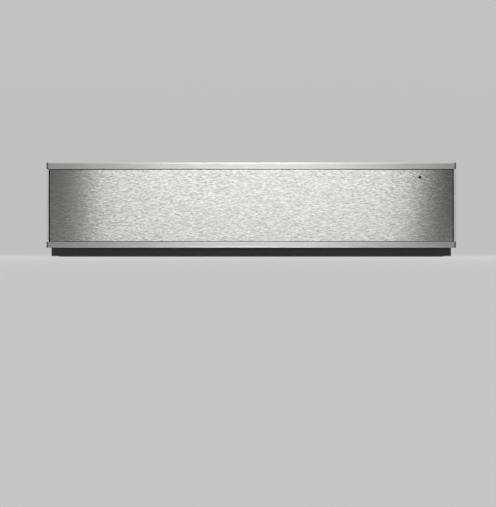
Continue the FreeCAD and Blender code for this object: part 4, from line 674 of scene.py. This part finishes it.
def tub_ring(out, z):
    """The tub's inside outline, moved outward by a distance, at a height."""
    away = Vector((out, out))
    corner = max(TUB_CORNER + out, LEDGE_CORNER)
    return outline(tub_low - away, tub_high + away, corner, "XY", z)


def tub_skin(sheet):
    """The rings of one face of the sheet, from the rim to the ledge's edge."""
    top, ledge = rim_high.z - sheet, rim_low.z + TUB_SHEET - sheet
    bend, foot = RIM_BEND - sheet, LEDGE_BEND + sheet
    rings = [outline(rim_low.xy, rim_high.xy, RIM_EDGE, "XY", top)]
    turns = quarter(BEND_STEPS)
    rings += [tub_ring(RIM_BEND - bend * math.sin(a), top - bend * (1 - math.cos(a))) for a in turns]
    rings += [tub_ring(foot * math.cos(a) - LEDGE_BEND, ledge + foot * (1 - math.sin(a))) for a in turns]
    rings.append(tub_ring(-LEDGE_WIDTH, ledge))
    return rings


bm = bmesh.new()
loft(bm, tub_skin(0) + tub_skin(TUB_SHEET)[::-1])
satin = brushed_metal(
    "satin_stainless", "#b6b5b3", "#cfcecb", grain=(11, 0.9, 0.9), rough=0.36, spread=0.55, bite=0.15,
)
tub = new_piece("pressed_tub", bm, satin)
bm = bmesh.new()
slot_z = (glass_high.z + rim_high.z - TUB_SHEET) / 2
slots = [SLOT_PITCH * step for step in range(-3, 4)]
slots += [side * (SIDE_SLOTS + SIDE_PITCH * step) for side in (-1, 1) for step in range(3)]
for x in slots:
    spot = Vector((x, tub_high.y, slot_z))
    box_into(bm, spot - SLOT_SIZE / 2, spot + SLOT_SIZE / 2)
well_low, well_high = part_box("control_tray")
box_into(bm, well_low + WELL_LIP, well_high - WELL_LIP + PUNCH_STROKE)
cut_away(tub, new_piece("punches", bm, satin))
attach(tub, "drawer")
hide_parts("drawer_tub")

# ---------------------------------------------------------------------------------------------------------
# Glass floor. Toughened glass, 4 mm, printed dark underneath, with a pencil-ground edge. It lies on a
# black silicone strip on the ledge.


def printed_glass():
    """Float glass over a fired charcoal print: a deep black with a clear gloss and slight handling marks."""
    material, tree, shader, where = start("printed_glass", IOR=1.52, Coat_Weight=1.0, Coat_Roughness=0.04)
    marks = add(tree, "TexNoise", {"Vector": where, "Scale": 1 / (55 * MM), "Detail": 6.0})
    level = {"Value": marks.outputs["Fac"], "From Min": 0.45, "From Max": 0.75}
    level = add(tree, "MapRange", level).outputs[0]
    tint = (level, colour("#101113"), colour("#17181a"))
    dull = (level, 0.12, 0.26)
    texture(tree, shader, tint, dull)
    return material


PENCIL_EDGE = 1.2 * MM
EDGE_STEPS = 4


def glass_ring(inset, z):
    """The glass's outline, moved inward by a distance, at a height."""
    away = Vector((inset, inset))
    return outline(glass_low.xy + away, glass_high.xy - away, TUB_CORNER - GLASS_PLAY - inset, "XY", z, 8)


rings = []
for a in quarter(EDGE_STEPS):
    rings.append(glass_ring(PENCIL_EDGE * (1 - math.sin(a)), glass_low.z + PENCIL_EDGE * (1 - math.cos(a))))
for a in quarter(EDGE_STEPS):
    rings.append(glass_ring(PENCIL_EDGE * (1 - math.cos(a)), glass_high.z - PENCIL_EDGE * (1 - math.sin(a))))
bm = bmesh.new()
loft(bm, rings, closed=False)
glass = new_piece("floor_glass", bm, printed_glass())
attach(glass, "drawer")
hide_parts("glass_floor")
dress(rubbery("black_silicone", "#161617"), "floor_gasket")

# ---------------------------------------------------------------------------------------------------------
# Heating mat, sensor and felts. A red silicone mat with an etched heater is bonded under the glass. Two
# needled mineral felts, under the floor and in the front, are cut from the roll and slightly uneven.


def heating_mat():
    """Silicone sheet with a meandering heater foil moulded in: brick red, with paler tracks 16 mm apart."""
    material, tree, shader, where = start("heating_mat", Roughness=0.55)
    scale = WAVE_REPEAT / (15.708 * MM)
    tracks = add(tree, "TexWave", {"Vector": where, "Scale": scale, "Distortion": 0.0}, bands_direction="Y")
    tint = (tracks.outputs["Fac"], colour("#8f2e1e"), colour("#b4523c"))
    texture(tree, shader, tint)
    return material


def needled_felt():
    """Mineral fibre, needled: off-white, with a tangle of fibres a few millimetres long."""
    material, tree, shader, where = start("needled_felt", Roughness=0.95, Sheen_Weight=0.3)
    tangle = {"Vector": where, "Scale": 1 / (4 * MM), "Detail": 8.0, "Distortion": 2.0}
    fibres = add(tree, "TexNoise", tangle)
    tint = (fibres.outputs["Fac"], colour("#b7b09c"), colour("#e6e2d4"))
    pile = (fibres.outputs["Fac"], 0.8, 0.5 * MM)
    texture(tree, shader, tint, relief=pile)
    return material


FELT_STEP = 12 * MM
FELT_GIVE = 0.6 * MM
FELT_SEED = 7


def felt_slab(name, low, high, thin, material):
    """A slab whose two wide faces rise and dip a little inside its box. Thin is its short axis."""
    size = [high[axis] - low[axis] for axis in range(3)]
    u, v = [axis for axis in range(3) if axis != thin]
    columns, rows = [max(2, round(size[axis] / FELT_STEP)) for axis in (u, v)]
    wave = random.Random(FELT_SEED)
    bm = bmesh.new()
    faces = []
    for side in (0, 1):
        grid = []
        for i in range(columns + 1):
            column = []
            for j in range(rows + 1):
                point = [0, 0, 0]
                point[u] = low[u] + size[u] * i / columns
                point[v] = low[v] + size[v] * j / rows
                give = FELT_GIVE * wave.random()
                point[thin] = high[thin] - give if side else low[thin] + give
                column.append(bm.verts.new(point))
            grid.append(column)
        faces.append(grid)
    for grid in faces:
        for i in range(columns):
            for j in range(rows):
                bm.faces.new((grid[i][j], grid[i + 1][j], grid[i + 1][j + 1], grid[i][j + 1]))
    rim = [(i, 0) for i in range(columns)] + [(columns, j) for j in range(rows)]
    rim += [(i, rows) for i in range(columns, 0, -1)] + [(0, j) for j in range(rows, 0, -1)]
    for (i, j), (k, m) in zip(rim, rim[1:] + rim[:1]):
        bm.faces.new((faces[0][i][j], faces[0][k][m], faces[1][k][m], faces[1][i][j]))
    return new_piece(name, bm, material, sharp=60)


SCREW_HOLE = 4 * MM
SENSOR_HOLE = 5.1 * MM
PUNCH_LENGTH = 30 * MM


def punch(bm, radius, foot, axis, steps):
    """A round punch for the felts."""
    lathe(bm, [(0, 0), (radius, 0), (radius, PUNCH_LENGTH), (0, PUNCH_LENGTH)], foot, axis, steps)


felt = needled_felt()
floor_felt = felt_slab("floor_felt", *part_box("floor_insulation"), 2, felt)
front_felt = felt_slab("front_felt", *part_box("front_insulation"), 1, felt)
bm = bmesh.new()
for low, high in lumps("front_screws") + [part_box("indicator_lens")]:
    middle = (low + high) / 2
    punch(bm, SCREW_HOLE, (middle.x, cad_box[0].y, middle.z), (0, 1, 0), 16)
cut_away(front_felt, new_piece("felt_punches", bm, felt))
bm = bmesh.new()
low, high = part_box("floor_sensor")
middle = (low + high) / 2
punch(bm, SENSOR_HOLE, (middle.x, middle.y, low.z - PUNCH_LENGTH / 2), (0, 0, 1), 32)
cut_away(floor_felt, new_piece("felt_punch", bm, felt))
for thing, node in ((floor_felt, "floor_insulation"), (front_felt, "front_insulation")):
    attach(thing, "drawer")
    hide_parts(node)
dress(heating_mat(), "floor_heater")
dress(bright_zinc, "floor_sensor")

# ---------------------------------------------------------------------------------------------------------
# Control. A black moulded tray sunk in the rim, with white printed numbers from 0 to 4 round the dial.
# The dial is dark satin plastic with a white line let into its grip bar.

satin_black = moulded("satin_black_plastic", "#1d1e20", grit=0.6, rough=0.42)
dress(satin_black, "control_tray")


def printed_ink():
    """Screen-printed white ink: opaque, half matt, a little uneven at its thinnest."""
    material, tree, shader, where = start("white_ink", Roughness=0.5)
    film = add(tree, "TexNoise", {"Vector": where, "Scale": 1 / (0.8 * MM), "Detail": 2.0})
    tint = (film.outputs["Fac"], colour("#cfd0d0"), colour("#f2f2f0"))
    texture(tree, shader, tint)
    return material


MARKS = 5
MARK_RADIUS = 10.9 * MM
MARK_HEIGHT = 3 * MM
FIGURE_SHARE = 0.7
DIAL_SWEEP = 180
INK = 0.05 * MM
TRAY_DEPTH = 14.5 * MM

ink = printed_ink()
low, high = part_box("selector_knob")
dial = (low + high) / 2
tray_floor = well_high.z - TRAY_DEPTH
bm = bmesh.new()
for mark in range(MARKS):
    a = math.radians(DIAL_SWEEP * mark / (MARKS - 1))
    spot = Vector((dial.x + MARK_RADIUS * math.sin(a), dial.y + MARK_RADIUS * math.cos(a), tray_floor))
    text = bpy.data.curves.new("figure", "FONT")
    text.body = str(mark)
    text.size = MARK_HEIGHT / FIGURE_SHARE
    text.align_x = "CENTER"
    text.align_y = "CENTER"
    text.extrude = INK
    text.resolution_u = 4
    figure = bpy.data.objects.new("figure", text)
    bpy.context.scene.collection.objects.link(figure)
    bpy.context.view_layer.update()
    drawn = bpy.data.meshes.new_from_object(figure)
    drawn.transform(Matrix.Translation(spot))
    bm.from_mesh(drawn)
    bpy.data.objects.remove(figure)
bmesh.ops.remove_doubles(bm, verts=bm.verts, dist=SAME_POINT)
numbers = new_piece("dial_numbers", bm, ink)
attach(numbers, "drawer")

KNOB_SHOULDER = 5 * MM
KNOB_GAP = 9 * MM
KNOB_EDGE = 0.5 * MM
SHOULDER_ROUND = 0.9 * MM
SPINDLE = 3 * MM
FLUTES = 36
FLUTE_DEPTH = 0.25 * MM
FLUTE_MARGIN = 0.1 * MM
GRIP_HALF = Vector((1.7, 6.4, 0)) * MM
GRIP_ROOT = 1 * MM
GRIP_EDGE = 0.7 * MM
POINTER_HALF = Vector((0.35 * MM, 2.4 * MM, INK))
POINTER_FROM_TIP = 3.2 * MM
POINTER_EDGE = 0.04 * MM

knob_radius = (high.x - low.x) / 2
base_z = low.z + KNOB_GAP
shoulder = high.z - KNOB_SHOULDER
bm = bmesh.new()
lathe(bm, [
    (0, low.z), (SPINDLE, low.z), (SPINDLE, base_z), (knob_radius - KNOB_EDGE, base_z),
    (knob_radius, base_z + KNOB_EDGE), (knob_radius, shoulder - SHOULDER_ROUND),
    (knob_radius - SHOULDER_ROUND / 3, shoulder - SHOULDER_ROUND / 3),
    (knob_radius - SHOULDER_ROUND, shoulder), (0, shoulder),
], (dial.x, dial.y, 0), (0, 0, 1), 2 * FLUTES)
for vert in bm.verts:
    out = Vector((vert.co.x - dial.x, vert.co.y - dial.y))
    if out.length > knob_radius - FLUTE_MARGIN:
        turn = math.atan2(out.y, out.x)
        pull = 1 - FLUTE_DEPTH / knob_radius * (0.5 + 0.5 * math.cos(FLUTES * turn))
        vert.co.x = dial.x + out.x * pull
        vert.co.y = dial.y + out.y * pull
knob_plastic = moulded("satin_grey_knob", "#2f3033", grit=0.5, rough=0.36)
knob = new_piece("dial", bm, knob_plastic)
bm = bmesh.new()
grip_foot = Vector((dial.x, dial.y, shoulder - GRIP_ROOT))
grip_top = Vector((dial.x, dial.y, high.z))
box_into(bm, grip_foot - GRIP_HALF, grip_top + GRIP_HALF, GRIP_EDGE, 3)
cut_away(knob, new_piece("grip_bar", bm, knob_plastic), "UNION")
bm = bmesh.new()
line_middle = Vector((dial.x, dial.y + GRIP_HALF.y - POINTER_FROM_TIP, high.z))
box_into(bm, line_middle - POINTER_HALF, line_middle + POINTER_HALF, POINTER_EDGE, 1)
pointer = new_piece("dial_pointer", bm, ink)
for thing, slot in ((knob, "knob_plastic"), (pointer, "pale_plastic")):
    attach(thing, "selector")
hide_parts("selector_knob")

# ---------------------------------------------------------------------------------------------------------
# Front panel. A 1.2 mm stainless sheet with four folded edges, rubbed along its length with a coarse
# belt, so that its highlight runs up and down and the grain shows as short level dashes.

panel_steel = brushed_metal(
    "belt_brushed_stainless", "#8a8a88", "#c8c8c6",
    grain=(4, 3, 0.4), rough=0.18, spread=1.0, bite=0.04, steps=(0.36, 0.64),
)
dress(panel_steel, "front_panel")

# ---------------------------------------------------------------------------------------------------------
# Rails. Two aluminium extrusions along the top and the bottom, rubbed lengthways and anodised natural.
# The upper has a bevel, the lower a small bevelled lip, and both have slightly broken edges.


def rail_aluminium(name, dark, light):
    """Clear anodised aluminium, rubbed lengthways: pale and silky, with faint lines 30 mm long."""
    return brushed_metal(name, dark, light, grain=(30, 0.6, 0.6), rough=0.4, spread=1.0, bite=0.1)


def bar(bm, profile, low_x, high_x):
    """Runs a closed profile of (y, z) points along X."""
    ends = [[bm.verts.new((x, y, z)) for y, z in profile] for x in (low_x, high_x)]
    count = len(profile)
    for i in range(count):
        j = (i + 1) % count
        bm.faces.new((ends[0][i], ends[0][j], ends[1][j], ends[1][i]))
    for end in ends:
        bm.faces.new(end)


RAIL_WALL = 1.8 * MM
RAIL_BEVEL = 1.4 * MM
RAIL_SETBACK = 0.6 * MM
LIP_HEIGHT = 1.8 * MM
BROKEN_EDGE = 0.25 * MM

# The lower rail is a touch darker, as in the photograph: a copy of the same aluminium with painted shade in
# its colour.
anodised = rail_aluminium("satin_anodised_aluminium", "#a7a7a6", "#b2b2b1")
anodised_painted_shade = rail_aluminium("satin_anodised_aluminium_painted_shade", "#a0a09f", "#a9a9a8")
low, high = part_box("top_rail")
bm = bmesh.new()
bar(bm, [
    (low.y, low.z + BROKEN_EDGE), (low.y, high.z - RAIL_BEVEL), (low.y + RAIL_BEVEL, high.z),
    (high.y - BROKEN_EDGE, high.z), (high.y, high.z - BROKEN_EDGE), (high.y, low.z),
    (high.y - RAIL_WALL, low.z), (high.y - RAIL_WALL, high.z - RAIL_WALL),
    (low.y + RAIL_WALL, high.z - RAIL_WALL), (low.y + RAIL_WALL, low.z), (low.y + BROKEN_EDGE, low.z),
], low.x, high.x)
upper = new_piece("upper_rail", bm, anodised, sharp=20)
low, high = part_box("bottom_rail")
face = low.y + RAIL_SETBACK
bm = bmesh.new()
bar(bm, [
    (low.y + BROKEN_EDGE, low.z), (low.y, low.z + BROKEN_EDGE), (low.y, low.z + LIP_HEIGHT - RAIL_SETBACK),
    (face, low.z + LIP_HEIGHT), (face, high.z - BROKEN_EDGE), (face + BROKEN_EDGE, high.z),
    (face + RAIL_WALL, high.z), (face + RAIL_WALL, low.z + RAIL_WALL),
    (high.y - RAIL_WALL, low.z + RAIL_WALL), (high.y - RAIL_WALL, high.z), (high.y, high.z),
    (high.y, low.z + BROKEN_EDGE), (high.y - BROKEN_EDGE, low.z),
], low.x, high.x)
lower = new_piece("lower_rail", bm, anodised_painted_shade, sharp=20)
for thing, node in ((upper, "top_rail"), (lower, "bottom_rail")):
    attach(thing, "drawer")
    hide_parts(node)

# ---------------------------------------------------------------------------------------------------------
# End caps. Four grey plastic caps close the rails. Each has a plate with broken edges and a peg that is
# pressed into the rail.

CAP_EDGE = 0.35 * MM
PEG_INSET = Vector((0, 2.2 * MM, 2.2 * MM))
PEG_BACK = 3.5 * MM

cap_grey = moulded("grey_cap_plastic", "#4b4d50", grit=0.5, rough=0.45)
rail_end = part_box("top_rail")[1].x
bm = bmesh.new()
for low, high in lumps("rail_end_caps"):
    side = math.copysign(1, low.x)
    inner, outer = sorted((abs(low.x), abs(high.x)))
    across = sorted((side * rail_end, side * outer))
    box_into(bm, (across[0], low.y, low.z), (across[1], high.y, high.z), CAP_EDGE)
    across = sorted((side * inner, side * rail_end))
    peg_low = Vector((across[0], low.y, low.z)) + PEG_INSET
    peg_high = Vector((across[1], high.y - PEG_BACK, high.z)) - PEG_INSET
    box_into(bm, peg_low, peg_high)
caps = new_piece("rail_caps", bm, cap_grey)
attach(caps, "drawer")
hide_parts("rail_end_caps")

# ---------------------------------------------------------------------------------------------------------
# Side strips, joint and carrier. The aluminium strips up the sides stand on edge between the rails. A
# black rubber strip fills the joint round the steel panel. The zinc-coated carrier lies behind them.

upright = brushed_metal(
    "anodised_strip", "#bfbfbe", "#cecece", grain=(0.6, 0.6, 40), rough=0.34, spread=0.6, bite=0.1,
)
dress(upright, "edge_strips")
dress(rubbery("black_joint_rubber", "#070707", rough=0.85, gloss=0.1), "panel_gasket")
dress(zinc, "front_carrier")

# ---------------------------------------------------------------------------------------------------------
# Red window. A polished acrylic light pipe with a slightly domed face, 4.5 mm across. It glows through
# the front when the drawer is hot, and is a dark wine red when off.


def wine_acrylic():
    """Dyed acrylic, injection-moulded and clear: dark red, glossy, darker where it is thick."""
    material, tree, shader, where = start("wine_acrylic", Roughness=0.16, IOR=1.49, Coat_Weight=0.3)
    depth = add(tree, "TexNoise", {"Vector": where, "Scale": 1 / (3 * MM), "Detail": 1.0})
    tint = (depth.outputs["Fac"], colour("#2c0009"), colour("#550a1c"))
    texture(tree, shader, tint)
    return material


WINDOW_RADIUS = 2.25 * MM
WINDOW_DOME = 0.35 * MM
DOME_TURN = 1.2
DOME_STEPS = 4
PIPE_RADIUS = 1.5 * MM
COLLAR_RADIUS = 3.2 * MM
COLLAR = (1.2 * MM, 2.8 * MM)

low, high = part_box("indicator_lens")
dome = []
for step in range(1, DOME_STEPS + 1):
    a = DOME_TURN * step / DOME_STEPS
    radius = WINDOW_RADIUS * math.sin(a) / math.sin(DOME_TURN)
    dome.append((radius, WINDOW_DOME * (1 - math.cos(a)) / (1 - math.cos(DOME_TURN)) - WINDOW_DOME))
length = high.y - low.y
bm = bmesh.new()
lathe(bm, [
    (0, -WINDOW_DOME), *dome, (WINDOW_RADIUS, COLLAR[0]), (COLLAR_RADIUS, COLLAR[0]),
    (COLLAR_RADIUS, COLLAR[1]), (PIPE_RADIUS, COLLAR[1]), (PIPE_RADIUS, length), (0, length),
], ((low.x + high.x) / 2, low.y, (low.z + high.z) / 2), (0, 1, 0), 32)
window = new_piece("red_window", bm, wine_acrylic())
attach(window, "drawer")
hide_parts("indicator_lens")

# ---------------------------------------------------------------------------------------------------------
# Studio. A wide pale floor under an even sky, with a soft box overhead and one at each side. A key in
# front and a strip above it light the front's metal and the frame alone. Three dark cards, seen only in
# reflections, let the highlight on the front fall off towards its ends.


def soft_light(name, place, target, width, height, power):
    """An area light that faces a target, in metres and watts. The camera doesn't see it."""
    light = bpy.data.lights.new(name, "AREA")
    light.shape = "RECTANGLE"
    light.size = width
    light.size_y = height
    light.energy = power
    lamp = bpy.data.objects.new(name, light)
    bpy.context.scene.collection.objects.link(lamp)
    lamp.location = place
    lamp.rotation_euler = (Vector(target) - Vector(place)).to_track_quat("-Z", "Y").to_euler()
    lamp.visible_camera = False
    return lamp


def plain(name, tone, rough):
    """A matt studio surface, a trace uneven in patches two thirds of a metre across."""
    patch = 2 / 3
    material, tree, shader, where = start(name, Roughness=rough, Specular_IOR_Level=0.1)
    mottle = add(tree, "TexNoise", {"Vector": where, "Scale": 1 / patch, "Detail": 2.0})
    tint = (mottle.outputs["Fac"], colour(tone), [min(1, c * 1.03) for c in colour(tone)])
    texture(tree, shader, tint)
    return material


def plane(name, corners, material):
    """A flat sheet through its corners."""
    mesh = bpy.data.meshes.new(name)
    mesh.from_pydata(corners, [], [tuple(range(len(corners)))])
    mesh.materials.append(material)
    thing = bpy.data.objects.new(name, mesh)
    bpy.context.scene.collection.objects.link(thing)
    return thing


FLOOR_REACH = 30
HORIZON = "#c0c0c1"
ZENITH = "#e2e2e2"

corners = [(x * FLOOR_REACH, y * FLOOR_REACH, 0) for x, y in ((-1, -1), (1, -1), (1, 1), (-1, 1))]
plane("floor", corners, plain("pale_floor", "#e4e4e4", rough=0.9))

world = bpy.data.worlds.new("studio")
world.use_nodes = True
bpy.context.scene.world = world
sky = world.node_tree
height = add(sky, "SeparateXYZ", {0: add(sky, "TexCoord").outputs["Generated"]}).outputs["Z"]
level = add(sky, "MapRange", {"Value": height, "From Min": 0.05, "From Max": 0.9}).outputs[0]
tone = add(sky, "Mix", {0: level, 6: colour(HORIZON), 7: colour(ZENITH)}, data_type="RGBA").outputs[2]
sky.links.new(tone, sky.nodes["Background"].inputs["Color"])
sky.nodes["Background"].inputs["Strength"].default_value = 1.0

BOX_HEIGHT = 2.0
SIDE_BOX = Vector((2.2, -1.8, BOX_HEIGHT / 2))
KEY_X = 0.02
KEY_AWAY = 2.2
STRIP_X = 0.03
STRIP_Y = -1.9

front_y = cad_box[0].y
soft_light("overhead", place=(0, -0.3, 2.4), target=(0, -0.3, 0), width=1.6, height=2.6, power=10)
for side in (-1, 1):
    place = (side * SIDE_BOX.x, front_y + SIDE_BOX.y, SIDE_BOX.z)
    target = (0, front_y, SIDE_BOX.z)
    lamp = soft_light(f"side_{side + 1}", place, target, width=1.6, height=BOX_HEIGHT, power=10)
    lamp.visible_diffuse = False

front_side = bpy.data.collections.new("front_side")
for thing in (upper, lower, caps, nodes["front_panel"], nodes["edge_strips"], nodes["front_frame"]):
    front_side.objects.link(thing)
place = (KEY_X, front_y - KEY_AWAY, BOX_HEIGHT / 2)
target = (KEY_X, front_y, BOX_HEIGHT / 2)
key = soft_light("key", place, target, width=0.745, height=BOX_HEIGHT, power=7.6)
strip = soft_light("strip", (STRIP_X, STRIP_Y, 2.0), (STRIP_X, STRIP_Y, 0), width=0.4, height=2.2, power=23)
for lamp in (key, strip):
    lamp.visible_diffuse = False
    lamp.light_linking.receiver_collection = front_side

# Each card is its distance in front of the front and its corners in X and Z, in metres.
CARDS = {
    "left_card": (2.3, ((-0.37, 0), (-0.9, 0), (-0.9, 2.2), (-0.37, 2.2))),
    "right_card": (2.3, ((0.37, 0), (0.9, 0), (0.9, 2.2), (0.37, 2.2))),
    "low_card": (0.6, ((0.22, 0), (0.5, 0), (0.5, 0.14), (0.36, 0.14))),
}

dark = plain("black_card", "#050505", rough=1.0)
for name, (away, corners) in CARDS.items():
    card = plane(name, [(x, front_y - away, z) for x, z in corners], dark)
    card.visible_camera = False
    card.visible_diffuse = False
    card.visible_shadow = False

# ---------------------------------------------------------------------------------------------------------
# Camera. It looks straight at the front, as in the photograph, from far enough for it to look flat. The
# photograph's middle lies a little to the left of the drawer's, and just above the shelf.

CAMERA_AWAY = 4.0
VIEW_WIDTH = 0.7142
VIEW_X = -4.7 * MM
VIEW_Z = 4.7 * MM
SENSOR = 36

lens = bpy.data.cameras.new("camera")
lens.sensor_fit = "HORIZONTAL"
lens.sensor_width = SENSOR
lens.lens = SENSOR * CAMERA_AWAY / VIEW_WIDTH
lens.clip_start = 1 * MM
camera = bpy.data.objects.new("camera", lens)
bpy.context.scene.collection.objects.link(camera)
camera.location = (VIEW_X, front_y - CAMERA_AWAY, VIEW_Z)
camera.rotation_euler = (math.pi / 2, 0, 0)
bpy.context.scene.camera = camera
bpy.context.scene.view_settings.view_transform = "Standard"

bpy.context.view_layer.update()
